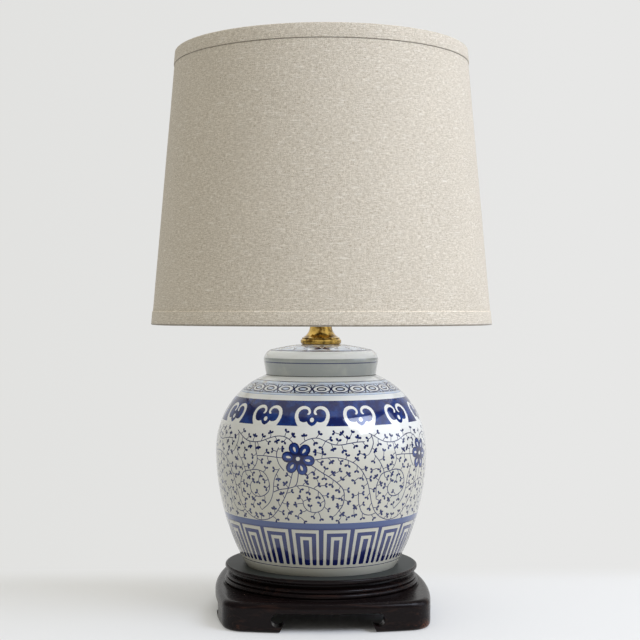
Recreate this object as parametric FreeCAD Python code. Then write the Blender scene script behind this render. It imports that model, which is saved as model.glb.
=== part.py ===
"""Ginger jar table lamp: a covered porcelain jar on a carved wooden stand, threaded on one hollow
rod that also carries a brass neck, a lamp socket and a wire harp with a tapered linen drum shade.
Millimetres. +Z is up, the origin is on the table at the middle of the stand, and the front is -Y."""

import FreeCAD
import Part
import math
import os

Vector = FreeCAD.Vector

# ---------------------------------------------------------------- driving sizes

# Clearances
SLIP = 0.3            # between pieces that move past each other
THREAD_PLAY = 0.1     # between a thread and the piece that is screwed on it
REST_GAP = 0.2        # between a piece that turns and the face that it rests on
RUN_PLAY = 0.08       # between a pin and the hole that it turns in

# Hollow rod, its nut and washers, and the bush that the cord enters by
ROD_RADIUS = 4.85
ROD_BORE_RADIUS = 3.4
ROD_BELOW_NUT = 4.0
ROD_HOLE_PLAY = 0.5
NUT_ACROSS_FLATS = 14.3
NUT_HEIGHT = 4.0
NUT_CHAMFER = 1.1
FLAT_WASHER_RADIUS = 14.0
FLAT_WASHER_THICKNESS = 1.6
TOOTH_WASHER_RADIUS = 8.6
TOOTH_WASHER_THICKNESS = 0.9
TOOTH_COUNT = 10
TOOTH_DEPTH = 1.3
CORD_BUSH_FLANGE_RADIUS = 5.6
CORD_BUSH_FLANGE = 1.6
CORD_BUSH_LENGTH = 8.0
CORD_BUSH_BORE_RADIUS = 2.6

# Carved plinth of the stand
PLINTH_WIDTH = 221.5
PLINTH_HEIGHT = 29.0
PLINTH_SIDE_BOW = 14.0
PLINTH_CORNER_RADIUS = 26.0
PLINTH_TOP_ROUNDING = 6.0
PLINTH_FOOT_ROUNDING = 4.5
APRON_THICKNESS = 15.0
APRON_UNDERSIDE = 19.0
LOBE_RADIUS = 6.6
LOBE_OFFSET = 49.0
TOE_TIP_OFFSET = 43.4
TOE_FOOT_OFFSET = 47.5

# Turned waist and plate of the stand
WAIST_HEIGHT = 15.8
WAIST_FILLET_RADIUS = 102.3
WAIST_FILLET_HEIGHT = 1.4
WAIST_BEAD_RADIUS = 101.0
WAIST_LOWER_BEAD = 4.8
WAIST_UPPER_BEAD = 4.2
WAIST_STEP = 2.2
WAIST_COVE_RADIUS = 92.0
PLATE_RADIUS = 100.3
PLATE_THICKNESS = 4.4
PLATE_EDGE_ROUNDING = 1.8
SEAT_DEPTH = 2.7
SEAT_PLAY = 2.2

# Porcelain jar
JAR_FOOT_RADIUS = 78.0
JAR_BELLY_RADIUS = 110.3
JAR_BELLY_HEIGHT = 121.7
JAR_SHOULDER_ARC_RADIUS = 83.7
JAR_WALL = 6.0
JAR_FLOOR = 7.0
JAR_FOOT_RING_WIDTH = 9.0
JAR_FOOT_RING_HEIGHT = 4.0
JAR_FOOT_EDGE = 1.6
JAR_COLLAR_RADIUS = 50.0
JAR_COLLAR_HEIGHT = 15.0
JAR_LEDGE_MARGIN = 0.6
JAR_HOLE_RADIUS = 6.8
GROMMET_FLANGE_RADIUS = 11.0
GROMMET_FLANGE = 1.5

# Porcelain cap lid
LID_RIM_RADIUS = 57.6
LID_WIDEST_RADIUS = 60.0
LID_SIDE_HEIGHT = 14.2
LID_EDGE_RADIUS = 11.0
LID_DOME_RADIUS = 220.0
LID_WALL = 4.5
LID_BOSS_RADIUS = 22.5

# Brass ring and neck
RING_RADIUS = 21.4
RING_HEIGHT = 6.0
RING_BORE_RADIUS = 12.0
RING_BEAD = 2.6
NECK_FOOT_RADIUS = 19.8
NECK_FOOT_HEIGHT = 1.0
NECK_WAIST_RADIUS = 11.5
NECK_SWEEP_RADIUS = 13.5
NECK_WAIST_LENGTH = 2.5
NECK_TOP_SWEEP_RADIUS = 8.0
NECK_TOP_RADIUS = 14.6
NECK_LIP_HEIGHT = 3.0
NECK_WALL = 1.2
NECK_TOP_PLATE = 1.5

# Harp saddle
SADDLE_INNER_WIDTH = 48.4
SADDLE_METAL = 1.6
SADDLE_BAND_WIDTH = 12.0
SADDLE_BEND_RADIUS = 2.4
SADDLE_SHOULDER_HEIGHT = 9.0
TONGUE_HEIGHT = 12.0
TONGUE_WIDTH = 4.4

# Harp, its locking sleeves and its top stud
HARP_HEIGHT = 254.0
HARP_WIDTH = 106.0
HARP_WIRE_RADIUS = 1.6
HARP_FLARE_DEGREES = 45.0
HARP_FLARE_RADIUS = 34.0
HARP_CROWN_RADIUS = 38.0
SLEEVE_LENGTH = 14.0
SLEEVE_WALL = 0.9
SLEEVE_ROLL = 0.7
SLEEVE_TRAVEL = 13.0
HARP_EYE_RADIUS = 5.4
HARP_EYE_THICKNESS = 2.6
SHANK_RADIUS = 2.0
SHANK_HEAD_RADIUS = 3.6
SHANK_HEAD_HEIGHT = 1.4
STUD_FLANGE_RADIUS = 6.5
STUD_FLANGE_HEIGHT = 3.2
STUD_RADIUS = 3.1
STUD_LENGTH = 12.0

# Lamp socket
CAP_HUB_RADIUS = 7.2
CAP_HUB_HEIGHT = 8.0
CAP_CONE_HEIGHT = 8.0
CAP_SKIRT_HEIGHT = 7.5
SOCKET_METAL = 0.6
SOCKET_SHELL_RADIUS = 16.5
SOCKET_SHELL_HEIGHT = 44.0
SOCKET_RIM_ROLL = 0.9
LINER_CARD = 0.8
LINER_SHORTER = 0.8
CAP_CARD = 0.8
SWITCH_BODY_RADIUS = 14.6
SWITCH_BODY_HEIGHT = 19.0
SCREW_SHELL_RADIUS = 13.9
SCREW_SHELL_METAL = 0.4
SCREW_SHELL_HEIGHT = 24.0
CONTACT_RISE = 2.2
CONTACT_METAL = 0.5
CONTACT_WIDTH = 5.0
CONTACT_LENGTH = 11.0
TERMINAL_RADIUS = 2.4
TERMINAL_HEAD = 1.3
TERMINAL_HEIGHT = 9.0
GRUB_SCREW_RADIUS = 1.6
GRUB_SCREW_LENGTH = 3.6

# Turn key of the switch
KEY_HEIGHT = 12.0
KEY_SHAFT_RADIUS = 1.7
KEY_SHAFT_REACH = 13.0
KEY_COLLAR_RADIUS = 3.2
KEY_COLLAR_LENGTH = 1.6
KNOB_RADIUS = 5.8
KNOB_LENGTH = 13.0
KNOB_FLUTES = 12
KNOB_FLUTE_RADIUS = 0.9
KNOB_EDGE = 1.0
KNOB_OVERLAP = 7.0

# Bulb
BULB_TIP_RADIUS = 4.6
BULB_TIP_HEIGHT = 1.6
BULB_CONE_HEIGHT = 4.0
BULB_BASE_RADIUS = 13.1
BULB_BASE_HEIGHT = 19.0
BULB_BASE_METAL = 0.4
BULB_NECK_RADIUS = 12.4
BULB_RADIUS = 30.0
BULB_SWEEP_RADIUS = 40.0
BULB_NECK_LENGTH = 4.0
BULB_NECK_SUNK = 3.0
BULB_GLASS = 1.0

# Shade
SHADE_TOP_RADIUS = 152.4
SHADE_BOTTOM_RADIUS = 177.0
SHADE_HEIGHT = 283.0
SHADE_DROP = 19.0
LINEN = 0.8
LINER = 0.6
TRIM_FACE = 13.5
TRIM_BACK = 9.0
TRIM_CLOTH = 0.7
RING_WIRE_RADIUS = 1.5
SEAM_LAP = 12.0
SEAM_THICKNESS = 0.5
SPIDER_WIRE_RADIUS = 1.6
SPIDER_ARMS = 3
SPIDER_SHELF = 16.0
SPIDER_BEND_RADIUS = 10.0
SPIDER_HUB_REACH = 22.0
WASHER_RADIUS = 13.5
WASHER_THICKNESS = 2.0

# Finial
FINIAL_FOOT_RADIUS = 6.2
FINIAL_FOOT_HEIGHT = 2.4
FINIAL_STEM_RADIUS = 4.6
FINIAL_STEM_HEIGHT = 7.6
FINIAL_BALL_RADIUS = 7.2
FINIAL_INSERT_RADIUS = 4.0
FINIAL_INSERT_LENGTH = 11.5

# ---------------------------------------------------------------- places that follow from the sizes

WAIST_Z = PLINTH_HEIGHT
PLATE_Z = WAIST_Z + WAIST_HEIGHT
PLATE_TOP_Z = PLATE_Z + PLATE_THICKNESS
JAR_Z = PLATE_TOP_Z - SEAT_DEPTH
BELLY_Z = JAR_Z + JAR_BELLY_HEIGHT
JAR_SHOULDER_CENTRE = JAR_BELLY_RADIUS - JAR_SHOULDER_ARC_RADIUS
JAR_LEDGE_RADIUS = LID_RIM_RADIUS + JAR_LEDGE_MARGIN


def drop_of_arc(radius, reach):
    """Height of a circle of this radius above its centre, at this distance from its axis."""
    return math.sqrt(radius ** 2 - reach ** 2)


LID_Z = BELLY_Z + drop_of_arc(JAR_SHOULDER_ARC_RADIUS, JAR_LEDGE_RADIUS - JAR_SHOULDER_CENTRE)
LID_LEAN = math.atan2(LID_WIDEST_RADIUS - LID_RIM_RADIUS, LID_SIDE_HEIGHT)
LID_EDGE_CENTRE = (LID_WIDEST_RADIUS - LID_EDGE_RADIUS * math.cos(LID_LEAN),
                   LID_Z + LID_SIDE_HEIGHT + LID_EDGE_RADIUS * math.sin(LID_LEAN))
LID_DOME_CENTRE_Z = LID_EDGE_CENTRE[1] - drop_of_arc(LID_DOME_RADIUS - LID_EDGE_RADIUS, LID_EDGE_CENTRE[0])
LID_TOP_Z = LID_DOME_CENTRE_Z + drop_of_arc(LID_DOME_RADIUS, LID_BOSS_RADIUS)
NECK_Z = LID_TOP_Z + RING_HEIGHT
NECK_SWEEP_REACH = NECK_WAIST_RADIUS + NECK_SWEEP_RADIUS - NECK_FOOT_RADIUS
NECK_WAIST_Z = NECK_Z + NECK_FOOT_HEIGHT + drop_of_arc(NECK_SWEEP_RADIUS, NECK_SWEEP_REACH)
NECK_TOP_SWEEP_Z = NECK_WAIST_Z + NECK_WAIST_LENGTH
NECK_TOP_REACH = NECK_WAIST_RADIUS + NECK_TOP_SWEEP_RADIUS - NECK_TOP_RADIUS
NECK_LIP_Z = NECK_TOP_SWEEP_Z + drop_of_arc(NECK_TOP_SWEEP_RADIUS, NECK_TOP_REACH)
SADDLE_Z = NECK_LIP_Z + NECK_LIP_HEIGHT
SOCKET_Z = SADDLE_Z + SADDLE_METAL
HARP_SEAT_Z = SADDLE_Z + HARP_HEIGHT
WASHER_Z = HARP_SEAT_Z + REST_GAP
FINIAL_Z = WASHER_Z + WASHER_THICKNESS + REST_GAP
SHADE_TOP_Z = WASHER_Z + SHADE_DROP
SHADE_BOTTOM_Z = SHADE_TOP_Z - SHADE_HEIGHT

ROD_HOLE_RADIUS = ROD_RADIUS + ROD_HOLE_PLAY
THREAD_RADIUS = ROD_RADIUS + THREAD_PLAY
TOOTH_WASHER_Z = APRON_UNDERSIDE - FLAT_WASHER_THICKNESS - TOOTH_WASHER_THICKNESS
NUT_Z = TOOTH_WASHER_Z - NUT_HEIGHT
ROD_BOTTOM_Z = NUT_Z - ROD_BELOW_NUT
ROD_TOP_Z = SOCKET_Z + CAP_HUB_HEIGHT

TONGUE_X = SADDLE_INNER_WIDTH / 2 + SADDLE_METAL / 2
HARP_LEG_X = TONGUE_X + SADDLE_METAL / 2 + THREAD_PLAY + HARP_WIRE_RADIUS
SLEEVE_X = (TONGUE_X - SADDLE_METAL / 2 + HARP_LEG_X + HARP_WIRE_RADIUS) / 2
SLEEVE_BORE = math.hypot(SLEEVE_X - TONGUE_X + SADDLE_METAL / 2, TONGUE_WIDTH / 2) + SLIP
SADDLE_SHOULDER_Z = SADDLE_Z + SADDLE_SHOULDER_HEIGHT
SLEEVE_Z = SADDLE_SHOULDER_Z + REST_GAP
HARP_FOOT_Z = SADDLE_SHOULDER_Z + THREAD_PLAY
HARP_CROWN_Z = HARP_SEAT_Z - STUD_FLANGE_HEIGHT - THREAD_PLAY - HARP_EYE_THICKNESS / 2

CAP_SKIRT_RADIUS = SOCKET_SHELL_RADIUS + THREAD_PLAY + SOCKET_METAL
CAP_CONE_Z = SOCKET_Z + CAP_HUB_HEIGHT
CAP_SKIRT_Z = CAP_CONE_Z + CAP_CONE_HEIGHT
SHELL_Z = CAP_SKIRT_Z + SOCKET_METAL
SHELL_TOP_Z = SHELL_Z + SOCKET_SHELL_HEIGHT
LINER_RADIUS = SOCKET_SHELL_RADIUS - SOCKET_METAL - THREAD_PLAY
SWITCH_BODY_Z = SHELL_Z + CAP_CARD
CONTACT_Z = SWITCH_BODY_Z + SWITCH_BODY_HEIGHT
KEY_Z = SWITCH_BODY_Z + KEY_HEIGHT
BULB_Z = CONTACT_Z + CONTACT_RISE + CONTACT_METAL + REST_GAP
BULB_CONE_Z = BULB_Z + BULB_TIP_HEIGHT
BULB_BASE_Z = BULB_CONE_Z + BULB_CONE_HEIGHT
BULB_BASE_TOP_Z = BULB_BASE_Z + BULB_BASE_HEIGHT
BULB_SWEEP_Z = BULB_BASE_TOP_Z + BULB_NECK_LENGTH
BULB_CENTRE_Z = BULB_SWEEP_Z + math.sqrt(
    (BULB_RADIUS + BULB_SWEEP_RADIUS) ** 2 - (BULB_NECK_RADIUS + BULB_SWEEP_RADIUS) ** 2)

SHADE_SLANT = math.hypot(SHADE_HEIGHT, SHADE_BOTTOM_RADIUS - SHADE_TOP_RADIUS)
SHADE_LEAN = math.atan2(SHADE_BOTTOM_RADIUS - SHADE_TOP_RADIUS, SHADE_HEIGHT)


# ---------------------------------------------------------------- helpers

def outline(start, *steps):
    """Closed wire in the XZ plane from (x, z) points. A step is a point, for a line, or a pair
    (point on the arc, end point), for an arc."""
    edges = []
    here = Vector(start[0], 0, start[1])
    for step in steps + (start,):
        if isinstance(step[0], tuple):
            middle = Vector(step[0][0], 0, step[0][1])
            there = Vector(step[1][0], 0, step[1][1])
            edges.append(Part.Arc(here, middle, there).toShape())
        else:
            there = Vector(step[0], 0, step[1])
            if there.distanceToPoint(here) < 1e-7:
                continue
            edges.append(Part.LineSegment(here, there).toShape())
        here = there
    return Part.Wire(edges)


def turned(start, *steps):
    """Solid of revolution about Z of an outline drawn at x = radius."""
    face = Part.Face(outline(start, *steps))
    return face.revolve(Vector(0, 0, 0), Vector(0, 0, 1), 360)


def arc_point(centre, radius, degrees):
    """Point (x, z) on a circle, measured from +X towards +Z."""
    angle = math.radians(degrees)
    return (centre[0] + radius * math.cos(angle), centre[1] + radius * math.sin(angle))


def arc_middle(centre, radius, one, other):
    """Point (x, z) of a circle half way between two of its points, the short way round."""
    x = (one[0] + other[0]) / 2 - centre[0]
    z = (one[1] + other[1]) / 2 - centre[1]
    length = math.hypot(x, z)
    return (centre[0] + x / length * radius, centre[1] + z / length * radius)


def tube(outer, inner, bottom, height):
    """Plain tube on the Z axis."""
    return turned((inner, bottom), (outer, bottom), (outer, bottom + height), (inner, bottom + height))


def wire_along(points, radii, wire_radius):
    """Round wire along straight runs through the points, with an arc of its radius at each inner point."""
    edges = []
    here = points[0]
    for before, corner, after, radius in zip(points, points[1:], points[2:], radii):
        back = (before - corner).normalize()
        ahead = (after - corner).normalize()
        half_turn = (math.pi - back.getAngle(ahead)) / 2
        tangent = radius * math.tan(half_turn)
        start = corner + back * tangent
        end = corner + ahead * tangent
        inward = (back + ahead).normalize()
        middle = corner + inward * (radius / math.cos(half_turn) - radius)
        if start.distanceToPoint(here) > 1e-6:
            edges.append(Part.LineSegment(here, start).toShape())
        edges.append(Part.Arc(start, middle, end).toShape())
        here = end
    edges.append(Part.LineSegment(here, points[-1]).toShape())
    path = Part.Wire(edges)
    section = Part.Wire(Part.Circle(points[0], points[1] - points[0], wire_radius).toShape())
    return path.makePipeShell([section], True, False)


def place_around(shape, count, first_degrees=0.0):
    """Copies of a shape evenly round the Z axis."""
    copies = []
    for k in range(count):
        copy = shape.copy()
        copy.rotate(Vector(0, 0, 0), Vector(0, 0, 1), first_degrees + 360.0 * k / count)
        copies.append(copy)
    return copies


# ---------------------------------------------------------------- stand

def cushion_square(width, bow, corner_radius, z):
    """Face of a square whose sides bow out and whose corners are round, with all arcs tangent."""
    half = width / 2
    side_radius = (half ** 2 + bow ** 2) / (2 * bow)
    centre_shift = side_radius - half
    reach = side_radius - corner_radius
    corner = (-centre_shift + math.sqrt(2 * reach ** 2 - centre_shift ** 2)) / 2
    side_turn = math.atan2(corner, centre_shift + corner)
    end_x = side_radius * math.sin(side_turn)
    end_y = side_radius * math.cos(side_turn) - centre_shift
    diagonal = corner + corner_radius / math.sqrt(2)
    edges = []
    for k in range(4):
        side = Part.Arc(Vector(end_x, end_y, z), Vector(0, half, z), Vector(-end_x, end_y, z)).toShape()
        turn = Part.Arc(Vector(-end_x, end_y, z), Vector(-diagonal, diagonal, z),
                        Vector(-end_y, end_x, z)).toShape()
        for edge in (side, turn):
            edge.rotate(Vector(0, 0, z), Vector(0, 0, 1), 90 * k)
            edges.append(edge)
    return Part.Face(Part.Wire(edges))


def scroll_opening():
    """Bracket opening between two feet: a flat soffit that ends in a round lobe over each hooked toe."""
    lobe_z = APRON_UNDERSIDE - LOBE_RADIUS
    toe_rise = drop_of_arc(LOBE_RADIUS, LOBE_OFFSET - TOE_TIP_OFFSET)
    toe_z = lobe_z - toe_rise
    below = -PLINTH_FOOT_ROUNDING
    face = Part.Face(outline(
        (-TOE_FOOT_OFFSET, below), (TOE_FOOT_OFFSET, below), (TOE_FOOT_OFFSET, 0.0), (TOE_TIP_OFFSET, toe_z),
        ((LOBE_OFFSET + LOBE_RADIUS, lobe_z), (LOBE_OFFSET, APRON_UNDERSIDE)),
        (-LOBE_OFFSET, APRON_UNDERSIDE),
        ((-LOBE_OFFSET - LOBE_RADIUS, lobe_z), (-TOE_TIP_OFFSET, toe_z)), (-TOE_FOOT_OFFSET, 0.0)))
    face.translate(Vector(0, -PLINTH_WIDTH, 0))
    return face.extrude(Vector(0, 2 * PLINTH_WIDTH, 0))


def stand_plinth():
    """Cushion-sided square plinth, hollow below, on four bracket feet with scroll-cut toes."""
    block = cushion_square(PLINTH_WIDTH, PLINTH_SIDE_BOW, PLINTH_CORNER_RADIUS, 0)
    block = block.extrude(Vector(0, 0, PLINTH_HEIGHT))
    top_edges = [e for e in block.Edges if e.BoundBox.ZMin > PLINTH_HEIGHT - 1e-3]
    foot_edges = [e for e in block.Edges if e.BoundBox.ZMax < 1e-3]
    block = block.makeFillet(PLINTH_TOP_ROUNDING, top_edges)
    foot_edges = [e for e in block.Edges if e.BoundBox.ZMax < 1e-3]
    block = block.makeFillet(PLINTH_FOOT_ROUNDING, foot_edges)
    hollow_width = PLINTH_WIDTH - 2 * APRON_THICKNESS
    hollow_bow = PLINTH_SIDE_BOW * (hollow_width / PLINTH_WIDTH) ** 2
    hollow = cushion_square(hollow_width, hollow_bow, PLINTH_CORNER_RADIUS - APRON_THICKNESS, 0)
    block = block.cut(hollow.extrude(Vector(0, 0, APRON_UNDERSIDE)))
    opening = scroll_opening()
    across = opening.copy()
    across.rotate(Vector(0, 0, 0), Vector(0, 0, 1), 90)
    block = block.cut(opening).cut(across)
    return block.cut(Part.makeCylinder(ROD_HOLE_RADIUS, PLINTH_HEIGHT))


def stand_waist():
    """Turned waist under the plate: a thin fillet, two beads set back one from the other, and a cove."""
    lower_z = WAIST_Z + WAIST_FILLET_HEIGHT
    lower_top = lower_z + WAIST_LOWER_BEAD
    upper_top = lower_top + WAIST_UPPER_BEAD
    upper_radius = WAIST_BEAD_RADIUS - WAIST_STEP
    cove_height = PLATE_Z - upper_top
    cove_lip = WAIST_COVE_RADIUS + 0.35 * cove_height
    root = WAIST_BEAD_RADIUS - WAIST_LOWER_BEAD / 2
    upper_root = upper_radius - WAIST_UPPER_BEAD / 2
    return turned(
        (ROD_HOLE_RADIUS, WAIST_Z), (WAIST_FILLET_RADIUS, WAIST_Z), (WAIST_FILLET_RADIUS, lower_z),
        (root, lower_z), ((WAIST_BEAD_RADIUS, lower_z + WAIST_LOWER_BEAD / 2), (root, lower_top)),
        (upper_root, lower_top),
        ((upper_radius, lower_top + WAIST_UPPER_BEAD / 2), (upper_root, upper_top)),
        (cove_lip, upper_top),
        ((WAIST_COVE_RADIUS, upper_top + cove_height / 2), (cove_lip, PLATE_Z)),
        (ROD_HOLE_RADIUS, PLATE_Z))


def stand_plate():
    """Round plate with a rounded edge and a shallow seat for the foot of the jar."""
    seat = JAR_FOOT_RADIUS + SEAT_PLAY
    edge = PLATE_EDGE_ROUNDING
    slope = math.sqrt(0.5)
    return turned(
        (ROD_HOLE_RADIUS, PLATE_Z), (PLATE_RADIUS - edge, PLATE_Z),
        ((PLATE_RADIUS - edge + edge * slope, PLATE_Z + edge - edge * slope), (PLATE_RADIUS, PLATE_Z + edge)),
        (PLATE_RADIUS, PLATE_TOP_Z - edge),
        ((PLATE_RADIUS - edge + edge * slope, PLATE_TOP_Z - edge + edge * slope),
         (PLATE_RADIUS - edge, PLATE_TOP_Z)),
        (seat, PLATE_TOP_Z), (seat, JAR_Z), (ROD_HOLE_RADIUS, JAR_Z))


# ---------------------------------------------------------------- jar and lid

def jar_body():
    """Jar with an arc from foot to belly, a rounder one over the shoulder, a collar and a foot ring."""
    across = JAR_BELLY_RADIUS - JAR_FOOT_RADIUS
    lower_radius = (across ** 2 + JAR_BELLY_HEIGHT ** 2) / (2 * across)
    lower_centre = (JAR_BELLY_RADIUS - lower_radius, BELLY_Z)
    upper_centre = (JAR_SHOULDER_CENTRE, BELLY_Z)
    belly = (JAR_BELLY_RADIUS, BELLY_Z)
    ledge = (JAR_LEDGE_RADIUS, LID_Z)
    foot_z = JAR_Z + JAR_FOOT_EDGE
    foot = (lower_centre[0] + drop_of_arc(lower_radius, BELLY_Z - foot_z), foot_z)
    floor_z = JAR_Z + JAR_FOOT_RING_HEIGHT + JAR_FLOOR
    inner_lower = lower_radius - JAR_WALL
    inner_upper = JAR_SHOULDER_ARC_RADIUS - JAR_WALL
    mouth = JAR_COLLAR_RADIUS - JAR_WALL
    inner_floor = (lower_centre[0] + drop_of_arc(inner_lower, BELLY_Z - floor_z), floor_z)
    inner_belly = (JAR_BELLY_RADIUS - JAR_WALL, BELLY_Z)
    inner_neck = (mouth, BELLY_Z + drop_of_arc(inner_upper, mouth - JAR_SHOULDER_CENTRE))
    ring_inner = JAR_FOOT_RADIUS - JAR_FOOT_RING_WIDTH
    collar_top = LID_Z + JAR_COLLAR_HEIGHT
    lip_middle = (JAR_COLLAR_RADIUS + mouth) / 2
    return turned(
        (JAR_HOLE_RADIUS, JAR_Z + JAR_FOOT_RING_HEIGHT), (ring_inner, JAR_Z + JAR_FOOT_RING_HEIGHT),
        (ring_inner + JAR_FOOT_EDGE, JAR_Z), (foot[0] - JAR_FOOT_EDGE, JAR_Z), foot,
        (arc_middle(lower_centre, lower_radius, foot, belly), belly),
        (arc_middle(upper_centre, JAR_SHOULDER_ARC_RADIUS, belly, ledge), ledge),
        (JAR_COLLAR_RADIUS, LID_Z), (JAR_COLLAR_RADIUS, collar_top),
        ((lip_middle, collar_top + JAR_WALL / 2), (mouth, collar_top)), inner_neck,
        (arc_middle(upper_centre, inner_upper, inner_neck, inner_belly), inner_belly),
        (arc_middle(lower_centre, inner_lower, inner_belly, inner_floor), inner_floor),
        (JAR_HOLE_RADIUS, floor_z))


def jar_grommet():
    """Rubber bush that centres the rod in the hole in the floor of the jar."""
    floor_z = JAR_Z + JAR_FOOT_RING_HEIGHT + JAR_FLOOR
    return turned(
        (THREAD_RADIUS, JAR_Z + JAR_FOOT_RING_HEIGHT),
        (JAR_HOLE_RADIUS - THREAD_PLAY, JAR_Z + JAR_FOOT_RING_HEIGHT), (JAR_HOLE_RADIUS - THREAD_PLAY, floor_z),
        (GROMMET_FLANGE_RADIUS, floor_z), (GROMMET_FLANGE_RADIUS, floor_z + GROMMET_FLANGE),
        (THREAD_RADIUS, floor_z + GROMMET_FLANGE))


def jar_lid():
    """Cap lid: a flared side, a round edge, a low dome and a flat boss round the hole for the rod."""
    dome_centre = (0, LID_DOME_CENTRE_Z)
    edge_angle = math.degrees(math.atan2(LID_EDGE_CENTRE[1] - LID_DOME_CENTRE_Z, LID_EDGE_CENTRE[0]))
    widest = (LID_WIDEST_RADIUS, LID_Z + LID_SIDE_HEIGHT)
    edge_end = arc_point(LID_EDGE_CENTRE, LID_EDGE_RADIUS, edge_angle)
    boss_edge = (LID_BOSS_RADIUS, LID_TOP_Z)
    inner_edge = LID_EDGE_RADIUS - LID_WALL
    inner_dome = LID_DOME_RADIUS - LID_WALL
    inner_side = arc_point(LID_EDGE_CENTRE, inner_edge, -math.degrees(LID_LEAN))
    inner_end = arc_point(LID_EDGE_CENTRE, inner_edge, edge_angle)
    inner_boss = (LID_BOSS_RADIUS, LID_DOME_CENTRE_Z + drop_of_arc(inner_dome, LID_BOSS_RADIUS))
    rim_inner = max(LID_RIM_RADIUS - LID_WALL, JAR_COLLAR_RADIUS + SLIP)
    return turned(
        (rim_inner, LID_Z), (LID_RIM_RADIUS, LID_Z), widest,
        (arc_middle(LID_EDGE_CENTRE, LID_EDGE_RADIUS, widest, edge_end), edge_end),
        (arc_middle(dome_centre, LID_DOME_RADIUS, edge_end, boss_edge), boss_edge),
        (JAR_HOLE_RADIUS, LID_TOP_Z), (JAR_HOLE_RADIUS, inner_boss[1]), inner_boss,
        (arc_middle(dome_centre, inner_dome, inner_boss, inner_end), inner_end),
        (arc_middle(LID_EDGE_CENTRE, inner_edge, inner_end, inner_side), inner_side))


def lid_grommet():
    """Rubber bush that centres the rod in the hole in the lid, with its flange under the lid."""
    ceiling = LID_DOME_CENTRE_Z + drop_of_arc(LID_DOME_RADIUS - LID_WALL, LID_BOSS_RADIUS)
    return turned(
        (THREAD_RADIUS, ceiling - GROMMET_FLANGE), (GROMMET_FLANGE_RADIUS, ceiling - GROMMET_FLANGE),
        (GROMMET_FLANGE_RADIUS, ceiling), (JAR_HOLE_RADIUS - THREAD_PLAY, ceiling),
        (JAR_HOLE_RADIUS - THREAD_PLAY, LID_TOP_Z), (THREAD_RADIUS, LID_TOP_Z))


# ---------------------------------------------------------------- brass neck

def neck_ring():
    """Brass seating ring with a rounded bead, between the lid and the neck."""
    slope = RING_BEAD * (1 - math.sqrt(0.5))
    bead_start = RING_RADIUS - RING_BEAD
    top = LID_TOP_Z + RING_HEIGHT
    return turned(
        (RING_BORE_RADIUS, LID_TOP_Z), (bead_start, LID_TOP_Z),
        ((RING_RADIUS - slope, LID_TOP_Z + slope), (RING_RADIUS, LID_TOP_Z + RING_BEAD)),
        (RING_RADIUS, top - RING_BEAD), ((RING_RADIUS - slope, top - slope), (bead_start, top)),
        (RING_BORE_RADIUS, top))


def brass_neck():
    """Spun brass neck, hollow: it sweeps in from its foot to a waist and out again to a lipped top."""
    low = (NECK_WAIST_RADIUS + NECK_SWEEP_RADIUS, NECK_WAIST_Z)
    high = (NECK_WAIST_RADIUS + NECK_TOP_SWEEP_RADIUS, NECK_TOP_SWEEP_Z)
    foot = (NECK_FOOT_RADIUS, NECK_Z + NECK_FOOT_HEIGHT)
    waist_low = (NECK_WAIST_RADIUS, NECK_WAIST_Z)
    waist_high = (NECK_WAIST_RADIUS, NECK_TOP_SWEEP_Z)
    lip = (NECK_TOP_RADIUS, NECK_LIP_Z)
    inner_waist = NECK_WAIST_RADIUS - NECK_WALL
    inner_low_sweep = NECK_SWEEP_RADIUS + NECK_WALL
    inner_foot_r = NECK_FOOT_RADIUS - NECK_WALL
    inner_foot = (inner_foot_r, low[1] - drop_of_arc(inner_low_sweep, low[0] - inner_foot_r))
    inner_high_sweep = NECK_TOP_SWEEP_RADIUS + NECK_WALL
    inner_lip_r = NECK_TOP_RADIUS - NECK_WALL
    inner_lip = (inner_lip_r, high[1] + drop_of_arc(inner_high_sweep, high[0] - inner_lip_r))
    ceiling = SADDLE_Z - NECK_TOP_PLATE
    return turned(
        (inner_foot_r, NECK_Z), (NECK_FOOT_RADIUS, NECK_Z), foot,
        (arc_middle(low, NECK_SWEEP_RADIUS, foot, waist_low), waist_low), waist_high,
        (arc_middle(high, NECK_TOP_SWEEP_RADIUS, waist_high, lip), lip),
        ((NECK_TOP_RADIUS + NECK_LIP_HEIGHT / 4, NECK_LIP_Z + NECK_LIP_HEIGHT / 2), (NECK_TOP_RADIUS, SADDLE_Z)),
        (THREAD_RADIUS, SADDLE_Z), (THREAD_RADIUS, ceiling), (inner_lip_r, ceiling), inner_lip,
        (arc_middle(high, inner_high_sweep, inner_lip, (inner_waist, high[1])), (inner_waist, high[1])),
        (inner_waist, low[1]),
        (arc_middle(low, inner_low_sweep, (inner_waist, low[1]), inner_foot), inner_foot))


# ---------------------------------------------------------------- rod and its fasteners

def centre_rod():
    """Hollow threaded rod that clamps the whole lamp, from the nut to the socket cap."""
    return tube(ROD_RADIUS, ROD_BORE_RADIUS, ROD_BOTTOM_Z, ROD_TOP_Z - ROD_BOTTOM_Z)


def flat_washer():
    """Steel washer under the plinth."""
    return tube(FLAT_WASHER_RADIUS, THREAD_RADIUS, APRON_UNDERSIDE - FLAT_WASHER_THICKNESS, FLAT_WASHER_THICKNESS)


def tooth_washer():
    """Steel lock washer with teeth round its rim."""
    ring = tube(TOOTH_WASHER_RADIUS, THREAD_RADIUS, TOOTH_WASHER_Z, TOOTH_WASHER_THICKNESS)
    half_gap = math.pi * TOOTH_WASHER_RADIUS / TOOTH_COUNT / 2
    gap = Part.makeBox(2 * TOOTH_DEPTH, 2 * half_gap, TOOTH_WASHER_THICKNESS,
                       Vector(TOOTH_WASHER_RADIUS - TOOTH_DEPTH, -half_gap, TOOTH_WASHER_Z))
    return ring.cut(place_around(gap, TOOTH_COUNT))


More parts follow.
